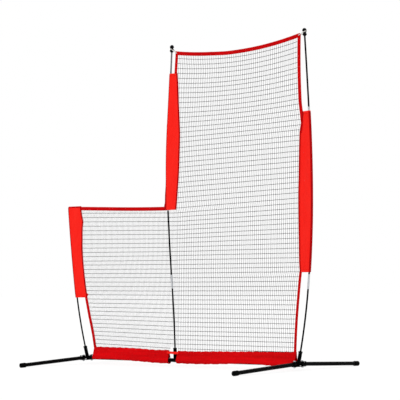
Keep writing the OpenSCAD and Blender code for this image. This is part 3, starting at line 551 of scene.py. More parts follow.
def tube_rings(path, radii, sides, closed=False):
    """Round rings along a path, each with its own radius."""
    path = np.asarray(path, float)
    _, side, lift = frames(path, closed)
    turns = np.linspace(0, 2 * pi, sides, endpoint=False)
    radii = np.broadcast_to(np.asarray(radii, float), len(path))
    across = np.cos(turns)[None, :, None] * side[:, None]
    deep = np.sin(turns)[None, :, None] * lift[:, None]
    return path[:, None] + radii[:, None, None] * (across + deep)


def run_length(path):
    """Length of a path, or of a section's outline."""
    return float(np.linalg.norm(np.diff(np.asarray(path), axis=0), axis=1).sum())


# %% [markdown]
# ## Stitches
#
# A seam is a row of short stitches, each of which dips into the cloth at both its ends. So a
# stitch here is a small pointed spindle of thread, and one piece holds all the rows of a seam.
# Painted stitches would look flat where light falls along the seam.

# %% Stitches
STITCH_LENGTH = 0.0042
STITCH_PITCH = 0.0062
THREAD_R = 0.00045
FULL_TO = 0.28  # a stitch keeps its full thickness this far from its middle, as a share
LOOK_AHEAD = 0.001


def along_path(path, pitch):
    """Points and directions at equal steps along a path."""
    path = np.asarray(path, float)
    steps = np.linalg.norm(np.diff(path, axis=0), axis=1)
    reach = np.concatenate([[0.0], np.cumsum(steps)])
    count = max(2, int(reach[-1] / pitch))
    middles = (np.arange(count) + 0.5) * reach[-1] / count
    spots, ahead, behind = [
        np.stack([np.interp(middles + shift, reach, path[:, k]) for k in range(3)], 1)
        for shift in (0.0, LOOK_AHEAD, -LOOK_AHEAD)
    ]
    ways = ahead - behind
    return spots, ways / np.linalg.norm(ways, axis=1)[:, None]


def add_stitches(name, paths, slot):
    """One piece that holds a row of stitches along each path."""
    points = []
    faces = []
    around = [(1, 0), (0, 1), (-1, 0), (0, -1)]
    for path in paths:
        for spot, way in zip(*along_path(path, STITCH_PITCH)):
            side = np.cross(way, NORTH)
            side /= max(np.linalg.norm(side), 1e-9)
            lift = np.cross(side, way)
            first = len(points)
            points.append(spot - way * STITCH_LENGTH / 2)
            for share in (-FULL_TO, FULL_TO):
                middle = spot + way * STITCH_LENGTH * share
                points += [middle + (a * side + b * lift) * THREAD_R for a, b in around]
            points.append(spot + way * STITCH_LENGTH / 2)
            low, high, last = first + 1, first + 5, first + 9
            for j, n in ((0, 1), (1, 2), (2, 3), (3, 0)):
                faces.append((first, low + n, low + j))
                faces.append((low + j, low + n, high + n, high + j))
                faces.append((high + j, high + n, last))
    return add_mesh(name, points, faces, "thread", slot)


def lifted(row, y, z=0.0):
    """A row of points moved in y and z, to lay its stitches on the cloth."""
    return np.asarray(row) + (0.0, y, z)


# %% [markdown]
# ## The netting
#
# Sports netting is one endless knit of twine. From a few metres it reads as thin rows across and
# thinner columns up and down, pulled straight between the bound edges. The twines here are real
# tubes: a sheet with holes painted on it would have no depth, and would cast a wrong shadow.
#
# The netting begins where the tapes and the sleeves end, so rays at those find its edges. Its rows
# are not evenly high: the upper half is pulled longer between the two tall poles, and the topmost
# rows sag with the top edge. So a panel knows how high each row meets its left and its right edge.

# %% Edges of the netting
# How far the cloth at an edge lies from its block's edge, towards the netting: pairs of a share of
# the block's height or length, and the distance
EASE = {
    "right_sleeve": [(0, 0.009), (0.07, 0.012), (0.2, 0.0105), (0.5, 0.0115), (0.6, 0.0095),
                     (0.7, 0.0105), (0.8, 0.012), (0.88, 0.013), (0.95, 0.004), (1, -0.002)],
    "centre_sleeve": [(0, -0.011), (0.06, -0.009), (0.12, -0.008), (0.17, -0.006),
                      (0.25, -0.003), (0.55, 0.0005), (0.68, -0.0055), (0.77, -0.007),
                      (0.86, -0.004), (0.92, -0.001), (1, 0.002)],
    "left_sleeve": [(0, -0.0085), (0.3, -0.009), (0.42, -0.008), (0.56, -0.004), (0.62, 0.001),
                    (0.69, 0.004), (0.76, 0.009), (0.82, 0.017), (0.89, 0.007), (0.96, 0),
                    (1, -0.001)],
    "left_lower_binding": [(0.27, 0), (0.44, -0.0036), (0.6, -0.008), (0.77, -0.0105),
                           (1, -0.0135), (1.06, -0.0195)],
    "tall_right_binding": [(0, -0.013), (0.1, -0.012), (0.21, -0.009), (0.32, -0.0035),
                           (1, -0.0033)],
    "low_top_binding": [(0, 0.009), (0.1, 0.0072), (0.3, 0.0053)],
    "tall_top_binding": [(0, -0.002), (0.3, -0.002), (0.42, 0.0016), (0.7, 0.0014), (0.85, 0),
                         (1, -0.002)],
    "right_lower_binding": [(0, 0.003), (0.4, 0.002), (0.7, 0)],
}
UPRIGHT_SAMPLES = 160
LEVEL_SAMPLES = 90
EDGE_MARGIN = 0.004
FOOT_MARGIN = 0.001
split_x = block("low_netting")[1].x
net_low = block("tall_netting")[0].z
net_high = block("tall_netting")[1].z


def ease_at(node, share):
    """The ease of a node at a share of its height or length."""
    shares, eases = zip(*EASE.get(node, [(0, 0)]))
    return float(np.interp(share, shares, eases))


def eased_side(node, z, side):
    """x of a node's edge on the netting's side, with its ease; side is where the netting lies."""
    x = edge(node, X, side, (0, NET_Y, z))
    low, high = block(node)
    return None if x is None else x + side * ease_at(node, (z - low.z) / (high.z - low.z))


def edge_up(holders, side):
    """x of the netting's edge as a function of height, from the pieces that hold it there."""
    samples = []
    for z in np.linspace(net_low + FOOT_MARGIN, net_high, UPRIGHT_SAMPLES):
        met = [eased_side(node, z, -side) for node in holders]
        met = [x * side for x in met if x is not None]
        samples.append((z, min(met) * side if met else None))
    return smooth_line(samples)


def edge_across(holder):
    """Height of the netting's upper edge as a function of x: the lower edge of its tape."""
    low, high = block(holder)
    xs = np.linspace(low.x + EDGE_MARGIN, high.x - EDGE_MARGIN, LEVEL_SAMPLES)
    return smooth_line([(x, edge(holder, Z, -1, (x, NET_Y, 0))) for x in xs])


def split_edge(holders):
    """The tall panel's left edge: a sleeve and a tape, and below them the line of the low panel."""
    held = edge_up(holders, -1)
    foot = block(holders[0])[0].z
    return lambda z: held(z) if z > foot else split_x


print("panels meet at x =", round(split_x, 4))


# %% A panel of netting
SAG_FROM = 1.5
SAG_REACH = 0.58
TOP_SAG = 0.045


def row_heights(marks):
    """Heights of all rows from a few marks of (row, height)."""
    at, height = zip(*marks)
    return np.interp(np.arange(at[-1] + 1), at, height)


@dataclass
class Panel:
    """A patch of netting: its edges, and the heights at which its rows meet them."""

    node: str
    columns: int
    left: callable
    right: callable
    top: callable
    left_heights: list
    right_heights: list

    @property
    def rows(self):
        return len(self.left_heights) - 1

    def point(self, i, j):
        """x and z where column i crosses row j."""
        u = i / self.columns
        left_z = self.left_heights[j]
        right_z = self.right_heights[j]
        left_x = self.left(left_z)
        x = left_x + (self.right(right_z) - left_x) * u
        z = left_z + (right_z - left_z) * u
        pull = min(1.0, max(0.0, (z - SAG_FROM) / SAG_REACH))
        return x, z - TOP_SAG * pull * 4 * u * (1 - u)


# %% [markdown]
# ## Twines
#
# No twine lies just where a drawing would put it. Whole rows and columns drift a little, each knot
# drifts a little more, and the patch stands back from its plane where nothing holds it. A twine is
# thick at its knots and thin between them. It ends under the top tape or in the hem, and over the
# centre socket, where the hems leave a gap, it ends just above the socket.

# %% Knots and twines
ROW_R = 0.00125
TALL_COLUMN_R = 0.00085
LOW_COLUMN_R = 0.00055
KNOT = 1.35
TWINE_SIDES = 5
ROW_DRIFT = 0.0012
COLUMN_DRIFT = 0.0008
KNOT_DRIFT = 0.0006
BELLY = 0.006
BELLY_ACROSS = 5.1
BELLY_UP = 3.3
TUCK = 0.005
HEM_DEPTH = 0.014
NET_FOOT = net_low - HEM_DEPTH
SLOT_LEFT = block("left_hem")[1].x - 0.001  # a twine this near a hem's end is still held
SLOT_RIGHT = block("right_hem")[0].x + 0.001
SLOT_TOP = block("socket_liners")[1].z + 0.0025

chance = random.Random(7)


def wander(size):
    return chance.uniform(-size, size)


def belly(u, v, phase):
    """How far the netting stands back from its plane: loose in the middle, tight at the edges."""
    hold = (u * (1 - u) * v * (1 - v)) ** 0.5 * 2
    return BELLY * hold * sin(BELLY_ACROSS * u + BELLY_UP * v + phase)


def knot_grid(panel, phase):
    """Places of all knots, by column and row, each a little off its ideal place."""
    row_drift = [wander(ROW_DRIFT) for _ in range(panel.rows + 1)]
    column_drift = [wander(COLUMN_DRIFT) for _ in range(panel.columns + 1)]
    grid = np.empty((panel.columns + 1, panel.rows + 1, 3))
    for i in range(panel.columns + 1):
        for j in range(panel.rows + 1):
            x, z = panel.point(i, j)
            x += column_drift[i] * (0 < i < panel.columns)
            z += (row_drift[j] + wander(KNOT_DRIFT)) * (0 < i < panel.columns)
            grid[i, j] = (x, NET_Y + belly(i / panel.columns, j / panel.rows, phase), z)
    return grid


def with_spans(line, thick):
    """A twine's points and radii: thick at each knot, thin halfway to the next."""
    points = np.empty((len(line) * 2 - 1, 3))
    points[0::2] = line
    points[1::2] = (line[:-1] + line[1:]) / 2
    radii = np.full(len(points), thick)
    radii[2:-2:2] *= KNOT
    return points, radii


def room(panel, point):
    """How far a point lies inside the netting: under the top edge and over the centre socket."""
    x, _, z = point
    over = z - (SLOT_TOP if SLOT_LEFT < x < SLOT_RIGHT else NET_FOOT)
    return min(panel.top(x) + TUCK - z, over)


def cut_to_room(panel, line):
    """The stretches of a twine that lie inside the netting, cut off where it leaves it."""
    inside = [room(panel, point) for point in line]
    parts = []
    part = []
    for k, point in enumerate(line):
        if k > 0 and (inside[k] > 0) != (inside[k - 1] > 0):
            share = inside[k - 1] / (inside[k - 1] - inside[k])
            part.append(line[k - 1] + (point - line[k - 1]) * share)
            if inside[k] <= 0:
                parts.append(part)
                part = []
        if inside[k] > 0:
            part.append(point)
    parts.append(part)
    return [np.array(part) for part in parts if len(part) > 1]


def add_netting(name, panel, phase, lead, column_r):
    """Makes a panel's twines from the column lead on, with none along its other three edges."""
    grid = knot_grid(panel, phase)
    lines = [(grid[i], column_r) for i in range(lead, panel.columns)]
    lines += [(grid[:, j], ROW_R) for j in range(1, panel.rows)]
    points = []
    faces = []
    count = 0
    for line, thick in lines:
        for part in cut_to_room(panel, line):
            path, radii = with_spans(part, thick)
            ring_points, ring_faces = skin(tube_rings(path, radii, TWINE_SIDES), ends=True)
            faces += [tuple(count + k for k in face) for face in ring_faces]
            points.append(ring_points)
            count += len(ring_points)
    piece = add_mesh(name, np.concatenate(points), faces, "twine", "netting")
    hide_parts(panel.node)
    print(name, "has", panel.rows - 1, "rows and", panel.columns - lead, "columns")


# %% Knit both panels
SHARED_ROWS = 34
split_heights = row_heights([(0, 0.088), (22, 0.732), (32, 1.016), (42, 1.352), (62, 2.013),
                             (64, 2.079)])
right_heights = row_heights([(0, 0.084), (22, 0.731), (32, 1.042), (62, 2.022), (64, 2.088)])
left_heights = row_heights([(0, 0.112), (12, 0.446), (22, 0.740), (32, 1.045), (34, 1.105)])
low_panel = Panel(
    "low_netting", 78, edge_up(["left_sleeve", "left_lower_binding"], -1), lambda z: split_x,
    edge_across("low_top_binding"), left_heights, split_heights[:SHARED_ROWS + 1])
tall_panel = Panel(
    "tall_netting", 65, split_edge(["centre_sleeve", "tall_left_binding"]),
    edge_up(["right_sleeve", "right_lower_binding", "tall_right_binding"], 1),
    edge_across("tall_top_binding"), split_heights, right_heights)
add_netting("low_net_twine", low_panel, 0.4, 1, LOW_COLUMN_R)
add_netting("tall_net_twine", tall_panel, 2.1, 0, TALL_COLUMN_R)

# %% [markdown]
# ## The pole sleeves
#
# Each sleeve is a long pocket of bright red polyester: one piece of cloth that goes round the pole
# and comes back to the netting, where both layers are sewn to its edge. The pole pulls it tight,
# so it is a flat teardrop in section, with long shallow creases. It is swept along the pole: each
# ring of points is that teardrop, as wide as the sleeve is at that height.

# %% A sleeve's run
CLOTH = 0.0009
SLEEVE_R = 0.0074
SHUT = 0.12
END_INSET = 0.001
# How far a sleeve's foot and top lie from its block's ends
END_SHIFT = {"right": (0.0065, 0.0105), "centre": (0.0, -0.0085), "left": (-0.012, -0.0015)}
# How far a sleeve's outer side stands off its pole: (height over its foot, distance). The centre
# sleeve's foot spreads over the low panel's corner, and the others are only a little loose.
FLARES = {
    "right": ((0.0, 0.0025),),
    "centre": ((0.0, 0.026), (0.020, 0.024), (0.035, 0.020), (0.050, 0.0145), (0.104, 0.0105),
               (0.156, 0.003), (0.2, 0.0)),
    "left": ((0.0, 0.004),),
}
SEAM_SAMPLES = 80
SEAM_FOOT = 0.003
SEAM_TOP = 0.004


class Sleeve:
    """Where a sleeve runs: its pole, its seam with the netting, and its two ends."""

    def __init__(self, pole, inward, seed, closing):
        self.name = f"{pole}_sleeve"
        self.axis = pole_x[pole]
        self.inward = inward
        self.seed = seed
        self.closing = closing
        low, high = block(self.name)
        foot_shift, top_shift = END_SHIFT[pole]
        self.low = low.z + END_INSET + foot_shift
        self.high = high.z - END_INSET + top_shift
        heights = np.linspace(low.z + SEAM_FOOT, high.z - SEAM_TOP, SEAM_SAMPLES)
        self.seam = smooth_line([(z, eased_side(self.name, z, inward)) for z in heights])
        self.flares = FLARES[pole]

    def width(self, z):
        return abs(self.seam(z) - self.axis(z))

    def flare(self, z):
        """How far the sleeve's outer side stands off the pole, at a height."""
        heights, spreads = zip(*self.flares)
        return float(np.interp(z - self.low, heights, spreads))

    def opening(self, z):
        """How far the section is open at a height: less and less near a top that is sewn shut."""
        if self.closing == 0:
            return 1.0
        return min(1.0, max(SHUT, (self.high - z) / self.closing)) ** 0.5

    def at(self, z, a, y):
        """A point at the distance a from the pole's axis, towards the netting."""
        return (self.axis(z) + self.inward * a, y, z)


# %% A sleeve's section
FLAT_POINTS = 26
ROUND_POINTS = 14
SEAM_HALF = 0.0010
FRONT_HOLLOW = 1.25  # above 1, so the front layer is drawn back between seam and pole
CREASE = 0.0013


def front_y(t):
    """Depth of the front layer at a share of the way from the seam to the pole."""
    return NET_Y - SEAM_HALF - (NET_Y - SEAM_HALF + SLEEVE_R) * t ** FRONT_HOLLOW


def back_y(t):
    """Depth of the back layer at a share of the way from the seam to the pole."""
    return NET_Y + SEAM_HALF - (NET_Y + SEAM_HALF - SLEEVE_R) * t


def round_pole(turns, grow, flare):
    """Points (a, y) round the pole's outer side, grow outside the sleeve's own cloth."""
    r = SLEEVE_R + grow
    return [(-(r + flare) * sin(turn), -r * cos(turn)) for turn in turns]


def teardrop(width, grow, flare):
    """Section of a sleeve as (a, y) points: front layer, round the pole, and back layer."""
    shares = [k / FLAT_POINTS for k in range(FLAT_POINTS + 1)]
    turns = [pi * k / ROUND_POINTS for k in range(1, ROUND_POINTS)]
    front = [(width * (1 - t), front_y(t) - grow) for t in shares]
    back = [(width * (1 - t), back_y(t) + grow) for t in shares[::-1]]
    return front + round_pole(turns, grow, flare) + back


def crease(a, z, width, seed):
    """Height of the creases: long waves up the sleeve, fading at the seam and the pole."""
    share = max(0.0, min(1.0, a / width))
    hold = sin(pi * share) ** 0.8
    long_wave = sin(23 * z + 5.0 * share + seed) * sin(7.3 * z + 2 * seed)
    ripple = 0.6 * sin(61 * z - 9.0 * share + 3 * seed) * sin(4.1 * z + seed)
    streak = 0.5 * sin(3 * pi * share + 2.2 * sin(5 * z + seed))
    return CREASE * hold * (long_wave + ripple + streak)


def sleeve_rings(sleeve, heights, grow=0.0):
    """Teardrops up the sleeve, creased, and closing towards a top that is sewn shut."""
    middle = NET_Y / 2
    rings = []
    for z in heights:
        width = sleeve.width(z)
        opening = sleeve.opening(z)
        ring = []
        for a, y in teardrop(width, grow, sleeve.flare(z)):
            side = -1 if y < NET_Y else 1
            bump = crease(a, z, width, sleeve.seed + side + 1) * (a > 0)
            ring.append(sleeve.at(z, a, middle + (y - middle + side * bump) * opening))
        rings.append(ring)
    return rings


def heights_between(low, high, step):
    """Places from low to high, about a step apart."""
    count = max(2, round((high - low) / step))
    return np.linspace(low, high, count + 1)


# %% [markdown]
# ## What is sewn to a sleeve
#
# The ends of a sleeve are turned over and sewn, so they are thicker, and the left sleeve's top is
# shut by a tape. A dark tape is folded over the seam, where it binds the netting between both
# layers, and a narrow dark one runs down the outer side as painted shade, where the cloth turns
# round the pole. Each is a sweep of its own, a little way off the cloth, because the cloth alone
# would look like paper.

# %% Trims of a sleeve
TAPE_CLOTH = 0.0006
SLEEVE_STEP = 0.008
HEM_TURN = 0.016
BINDING_TURN = 0.010
OVER_END = 0.0005
END_STEP = 0.004
HEM_GROW = 0.0007
BINDING_GROW = 0.0012
EDGING = 0.0085
EDGING_LIFT = 0.0017
EDGING_OUT = 0.0030
EDGING_FOLD = 0.0012
EDGING_STEPS = 5
BAND_LIFT = 0.0020
BAND_SHORT = 0.004
BAND_TURNS = [radians(turn) for turn in range(12, 169, 13)]


def add_sleeve_ends(sleeve):
    """The turned hem at the foot, and the same or a binding at the top."""
    low, high = sleeve.low, sleeve.high
    ends = {"foot_hem": (low - OVER_END, low + HEM_TURN, HEM_GROW, "sleeve", "sleeve_fabric")}
    if sleeve.closing > 0:
        ends["top_binding"] = (high - BINDING_TURN, high, BINDING_GROW, "tape", "binding_tape")
    else:
        ends["top_hem"] = (high - HEM_TURN, high + OVER_END, HEM_GROW, "sleeve", "sleeve_fabric")
    made = []
    for end, (low, high, grow, finish, slot) in ends.items():
        rings = sleeve_rings(sleeve, heights_between(low, high, END_STEP), grow)
        made.append(add_swept(f"{sleeve.name}_{end}", rings, finish, slot, CLOTH))
    return made


def edging_section(sleeve, z):
    """The dark tape folded over the seam, which binds the netting to both layers."""
    width = sleeve.width(z)
    front = []
    back = []
    for k in range(EDGING_STEPS, -1, -1):
        a = width + EDGING_OUT - EDGING * k / EDGING_STEPS
        t = max(0.0, 1 - a / width)
        front.append((a, front_y(t) - EDGING_LIFT - crease(a, z, width, sleeve.seed)))
        back.append((a, back_y(t) + EDGING_LIFT + crease(a, z, width, sleeve.seed + 2)))
    return front + [(width + EDGING_OUT + EDGING_FOLD, NET_Y)] + back[::-1]


def shade_band_section(sleeve, z):
    """A narrow dark tape down the outer side: painted shade where the cloth turns round the pole.
    """
    return round_pole(BAND_TURNS, BAND_LIFT, sleeve.flare(z))


def add_sleeve_tape(sleeve, name, section, high):
    """A tape up the sleeve, whose section (a, y) is worked out at each height."""
    heights = heights_between(sleeve.low, high, SLEEVE_STEP)
    rings = [[sleeve.at(z, a, y) for a, y in section(sleeve, z)] for z in heights]
    return add_swept(f"{sleeve.name}_{name}", rings, "edging", "binding_tape", TAPE_CLOTH,
                     closed_ring=False)


# %% Sew the three sleeves
SEAM_LIFT = 0.0005
END_LIFT = 0.0013
SEAM_ROWS = (2, 3)
END_ROW = 2


def add_sleeve_stitches(sleeve, rings):
    """Two rows up the seam and one row round each turned hem, front and back."""
    last = rings.shape[1] - 1
    rows = []
    for k in SEAM_ROWS:
        rows.append(lifted(rings[2:-2, k], -SEAM_LIFT))
        rows.append(lifted(rings[2:-2, last - k], SEAM_LIFT))
    for end in ([END_ROW] if sleeve.closing > 0 else [END_ROW, -END_ROW - 1]):
        rows.append(lifted(rings[end, 1:FLAT_POINTS], -END_LIFT))
        rows.append(lifted(rings[end, last + 1 - FLAT_POINTS:last], END_LIFT))
    return add_stitches(f"{sleeve.name}_stitches", rows, "sleeve_fabric")


def add_sleeve(pole, inward, seed, closing=0.0):
    sleeve = Sleeve(pole, inward, seed, closing)
    rings = np.array(sleeve_rings(sleeve, heights_between(sleeve.low, sleeve.high, SLEEVE_STEP)))
    cloth = add_swept(f"{sleeve.name}_cloth", rings, "sleeve", "sleeve_fabric", CLOTH)
    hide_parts(sleeve.name)
    trims = add_sleeve_ends(sleeve)
    trims.append(add_sleeve_tape(sleeve, "edging", edging_section, sleeve.high))
    # A dark strip down the outer side: painted shade where the cloth turns round the pole
    trims.append(add_sleeve_tape(sleeve, "outer_shade_band", shade_band_section, sleeve.high - BAND_SHORT))
    trims.append(add_sleeve_stitches(sleeve, rings))


add_sleeve("right", -1, 0.3)
add_sleeve("centre", 1, 1.9)
add_sleeve("left", 1, 4.2, 0.02)

# %% [markdown]
# ## The bound edges
#
# Where no pole runs, the netting's edge is folded into a dark red tape, sewn down along both its
# sides. Its line is read from the CAD block: rays from both sides give its two edges at each step,
# and the tape is swept along their middle. Sewing pulls the tape thin at the stitches and leaves
# it puffed in between, which is what makes it look soft.

# %% A tape's section and line
TAPE_STEP = 0.007
TAPE_MARGIN = 0.004
TAPE_PUFF = 0.0016
TAPE_SEWN = 0.0010
TAPE_RIM = 0.0003
RIPPLE = 0.12
SEWN_AT = 0.78
TAPE_SHARES = (-1, -0.93, -SEWN_AT, -0.62, -0.3, 0, 0.3, 0.62, SEWN_AT, 0.93, 1)


def tape_height(share, at):
    """Half the thickness of the tape at a share of its half width, at a place along it."""
    if abs(share) == 1:
        return TAPE_RIM
    ripple = 1 + RIPPLE * sin(190 * at + 3 * share)
    return (TAPE_SEWN if abs(share) == SEWN_AT else TAPE_PUFF) * ripple


def tape_line(node, axis):
    """The middle line of a tape's block along the axis, and half its width."""
    across = X if axis == Z else Z
    low, high = block(node)
    middles = []
    halves = []
    for at in heights_between(low[axis] + TAPE_MARGIN, high[axis] - TAPE_MARGIN, TAPE_STEP):
        edges = [edge(node, across, side, (at, NET_Y, at)) for side in (-1, 1)]
        if None not in edges:
            middle = sum(edges) / 2
            middles.append((middle, NET_Y, at) if axis == Z else (at, NET_Y, middle))
            halves.append(abs(edges[1] - edges[0]) / 2)
    return np.array(middles), float(np.median(halves))


def lengthened(middles, start, end):
    """The middle line with its ends carried on by the two lengths, where other cloth covers it."""
    if start > 0:
        way = middles[0] - middles[1]
        middles = np.vstack([middles[0] + way / np.linalg.norm(way) * start, middles])
    if end > 0:
        way = middles[-1] - middles[-2]
        middles = np.vstack([middles, middles[-1] + way / np.linalg.norm(way) * end])
    return middles


# %% Sew the tapes
STITCH_LIFT = 0.0002
# Each tape: the panel it binds, the axis it runs along, what its half width gains, and what its
# two ends gain
TAPES = {
    "tall_top_binding": ("tall_netting", X, 0.0029, 0.004, 0.004),
    "tall_right_binding": ("tall_netting", Z, 0.0027, 0.0, 0.020),
    "tall_left_binding": ("tall_netting", Z, 0.0016, 0.018, 0.012),
    "low_top_binding": ("low_netting", X, 0.0030, 0.0, 0.0),
    "right_lower_binding": ("tall_netting", Z, 0.0, 0.008, 0.014),
    "left_lower_binding": ("low_netting", Z, 0.0022, 0.008, 0.008),
}


def add_tape(node, panel, axis, wider, start, end):
    middles, half = tape_line(node, axis)
    # A ray crosses a leaning tape aslant, so the tape is narrower than the ray says
    half = half * float(np.mean(np.abs(frames(middles)[0][:, axis]))) + wider
    middles = lengthened(middles, start, end)
    _, side, lift = frames(middles)
    inward = np.array(sum(block(panel), Vector()) / 2) - middles[len(middles) // 2]
    if side[len(side) // 2] @ inward > 0:
        side, lift = -side, -lift
    low, high = block(node)
    shares = (middles[:, axis] - low[axis]) / (high[axis] - low[axis])
    middles = middles - side * np.array([[ease_at(node, share)] for share in shares])
    rings = []
    for middle, out, up in zip(middles, side, lift):
        flat = [middle + out * half * share for share in TAPE_SHARES]
        puff = [up * tape_height(share, middle[axis]) for share in TAPE_SHARES]
        front = [a - b for a, b in zip(flat, puff)]
        back = [a + b for a, b in zip(flat, puff)]
        rings.append(front + back[::-1])
    tape = add_swept(f"{node}_tape", rings, "tape", "binding_tape", TAPE_CLOTH, closed_ring=False)
    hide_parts(node)
    rows = []
    for share in (-SEWN_AT, SEWN_AT):
        for face in (-1, 1):
            rows.append(middles + side * half * share + lift * face * (TAPE_SEWN + STITCH_LIFT))
    stitches = add_stitches(f"{node}_stitches", rows, "binding_tape")


for node, how in TAPES.items():
    add_tape(node, *how)

# %% [markdown]
# ## The hem round the crossbar
#
# The net's lower edge is a tunnel of deep red cloth that the crossbar runs through. It is longer
# than it needs to be and gathered, so its edges wander up and down and small pleats run down from
# its sewn top. In section it is a drop that hangs round the tube and closes on the netting. Each
# ring along the crossbar gets its own depth, height and pleats.

# %% A hem's section
HEM_ROUND = 15
HEM_SIDE = 12
HEM_R = 0.0172
HEM_SEAM_HALF = 0.0022
FOOT_FULLNESS = 0.85  # below 1, so the drop is full at its foot
TOP_CLOSING = 0.8  # below 1, so it closes soon above the tube
PLEAT = 0.0014
PLEAT_PACE = 1.1  # above 1, so the pleats fade out a little under the top
# Waves along the hem, each with its length and its height, in metres
TOP_WAVES = ((0.061, 0.0012), (0.023, 0.0006))
FOOT_WAVES = ((0.083, 0.0010), (0.037, 0.0006))
ROUND_WAVES = ((0.21, 0.0010), (0.09, 0.0006))
PLEAT_WAVES = ((0.031, 0.7), (0.047, 0.6))  # these heights are shares of a whole pleat
crossbar_z = sum(corner.z for corner in block("left_crossbar")) / 2


def wave(x, waves, seed):
    """The sum of a few waves at x."""
    return sum(size * sin(2 * pi * x / length + seed * (k + 1))
               for k, (length, size) in enumerate(waves))


def hem_ring(x, top, foot, seed):
    """A drop-shaped section of the hem in the plane at x."""
    top += wave(x, TOP_WAVES, seed)
    foot += wave(x, FOOT_WAVES, seed + 1)
    r = HEM_R + wave(x, ROUND_WAVES, seed)
    ring = []
    for k in range(HEM_ROUND + 1):
        turn = pi * k / HEM_ROUND
        drop = (crossbar_z - foot) * sin(turn) ** FOOT_FULLNESS
        ring.append([x, -r * cos(turn), crossbar_z - drop])
    rising = [k / HEM_SIDE for k in range(1, HEM_SIDE + 1)]
    falling = [1 - t for t in rising[:-1]]
    for side, shares in ((1, rising), (-1, falling)):
        for t in shares:
            fade = sin(pi * min(1.0, t * PLEAT_PACE))
            pleat = PLEAT * fade * wave(x, PLEAT_WAVES, seed + t)
            closed = NET_Y + side * HEM_SEAM_HALF
            straight = side * r + (closed - side * r) * t ** TOP_CLOSING
            ring.append([x, straight + side * pleat, crossbar_z + (top - crossbar_z) * t])
    return ring


def smooth_curve(low, high, values):
    """A rounded line through values at equal steps from low to high."""
    xs = np.linspace(low, high, len(values))
    zs = np.array(values)
    slopes = np.gradient(zs, xs)

    def at(x):
        k = int(np.clip(np.searchsorted(xs, x) - 1, 0, len(xs) - 2))
        step = xs[k + 1] - xs[k]
        t = min(1.0, max(0.0, (x - xs[k]) / step))
        a = (1 + 2 * t) * (1 - t) ** 2 * zs[k] + t * (1 - t) ** 2 * step * slopes[k]
        return a + t * t * (3 - 2 * t) * zs[k + 1] + t * t * (t - 1) * step * slopes[k + 1]

    return at


# %% Sew the two hems
HEM_STEP = 0.006
HEM_LIFT = 0.0004
SLANT_FROM = 0.05


def add_hem(name, node, seed, tops, feet, slant=0.0):
    """A hem along its block, from the heights of its top and its foot. Its end may slant."""
    low, high = block(node)
    top_line = smooth_curve(low.x, high.x, tops)
    foot_line = smooth_curve(low.x, high.x, feet)
    rings = []
    for x in heights_between(low.x, high.x, HEM_STEP):
        ring = hem_ring(x, top_line(x), foot_line(x), seed)
        reach = max(0.0, (x - (high.x - SLANT_FROM)) / SLANT_FROM)
        for point in ring:
            rise = (point[2] - crossbar_z) / (high.z - crossbar_z)
            point[0] -= slant * reach * max(0.0, rise)
        rings.append(ring)
    rings = np.array(rings)
    cloth = add_swept(name, rings, "hem", "hem_fabric", CLOTH)
    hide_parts(node)
    peak = HEM_ROUND + HEM_SIDE
    rows = []
    for down in (1, 3):
        rows.append(lifted(rings[1:-1, peak - down], HEM_LIFT))
        rows.append(lifted(rings[1:-1, peak + down + 1], -HEM_LIFT))
    stitches = add_stitches(f"{name}_stitches", rows, "hem_fabric")


add_hem("left_hem_cloth", "left_hem", 0.7,
        [0.117, 0.116, 0.115, 0.112, 0.106, 0.107],
        [0.0295, 0.0312, 0.0300, 0.0250, 0.0190, 0.0165], slant=0.010)
add_hem("right_hem_cloth", "right_hem", 2.3,
        [0.103, 0.102, 0.106, 0.108, 0.112, 0.114, 0.117],
        [0.0200, 0.0195, 0.0225, 0.0290, 0.0310, 0.0235, 0.0232])

# %% [markdown]
# ## The strap at the centre socket
#
# Between the two hems the centre socket stands free, and a short bright strap ties the hems
# together in front of it. It is a ribbon that bows out round the socket, sewn down at both ends.

# %% Strap
STRAP_INSET = 0.0012
STRAP_STEP = 0.0035
STRAP_OFF = 0.0006
STRAP_THICK = 0.0007
STRAP_SWAY = 0.0012
STRAP_WIDTH = 0.92
STRAP_SECTION = ((-1, 0.2), (-0.9, 1), (0, 1.15), (0.9, 1), (1, 0.2), (0.9, -1), (0, -1.15),
                 (-0.9, -1))
STRAP_LIFT = 0.0003
STRAP_ROWS = {1: 0.002, 3: -0.002}  # the section's back corners, and how far in a row is sewn


def add_strap():
    low, high = block("hem_strap")
    middle_z = (low.z + high.z) / 2
    half = (high.z - low.z) / 2
    rings = []
    for x in heights_between(low.x + STRAP_INSET, high.x - STRAP_INSET, STRAP_STEP):
        y = edge("hem_strap", Y, -1, (x, 0, middle_z)) + STRAP_OFF
        z = middle_z + STRAP_SWAY * sin(40 * (x - low.x))
        rings.append([(x, y + STRAP_THICK * t, z + half * STRAP_WIDTH * s)
                      for s, t in STRAP_SECTION])
    strap = add_swept("hem_strap_ribbon", rings, "sleeve", "sleeve_fabric", ends=True)
    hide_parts("hem_strap")
    rings = np.array(rings)
    rows = []
    for part in (slice(1, 6), slice(-6, -1)):
        for k, inward in STRAP_ROWS.items():
            rows.append(lifted(rings[part, k], -STRAP_LIFT, inward))
    stitches = add_stitches("hem_strap_stitches", rows, "sleeve_fabric")


add_strap()

# %% [markdown]
# ## Ball caps and elastic loops
#
# A moulded ball cap sits on each tall pole. It has a deep groove, and the elastic loop from the
# net's corner is hooked into it. A lathe makes the cap: half its outline is turned round the
# pole's axis. The loop is one closed cord that goes round the groove and through the grommet.

# %% Ball caps
CAP_TURNS = 40
CAP_ROUND = 0.0016
MOST_CUT = 0.45  # of an edge, by the rounding of one of its corners
CAP_BORE_R = 0.0056
CAP_FOOT_R = 0.0075
GROOVE_R = 0.0101
GROOVE_SLOPE = 0.003
CONE_SHARE = 0.252
CONE_SHOULDER = (0.99, 0.72)  # of the cap's radius, and of the cone's height
GROOVE_SHARE = 0.40
TIP_R = 0.00001
IN_CAP = 0.004
BELOW_CAP = 0.002
LEAN_RUN = 0.06
CAP_RISE = 0.0002


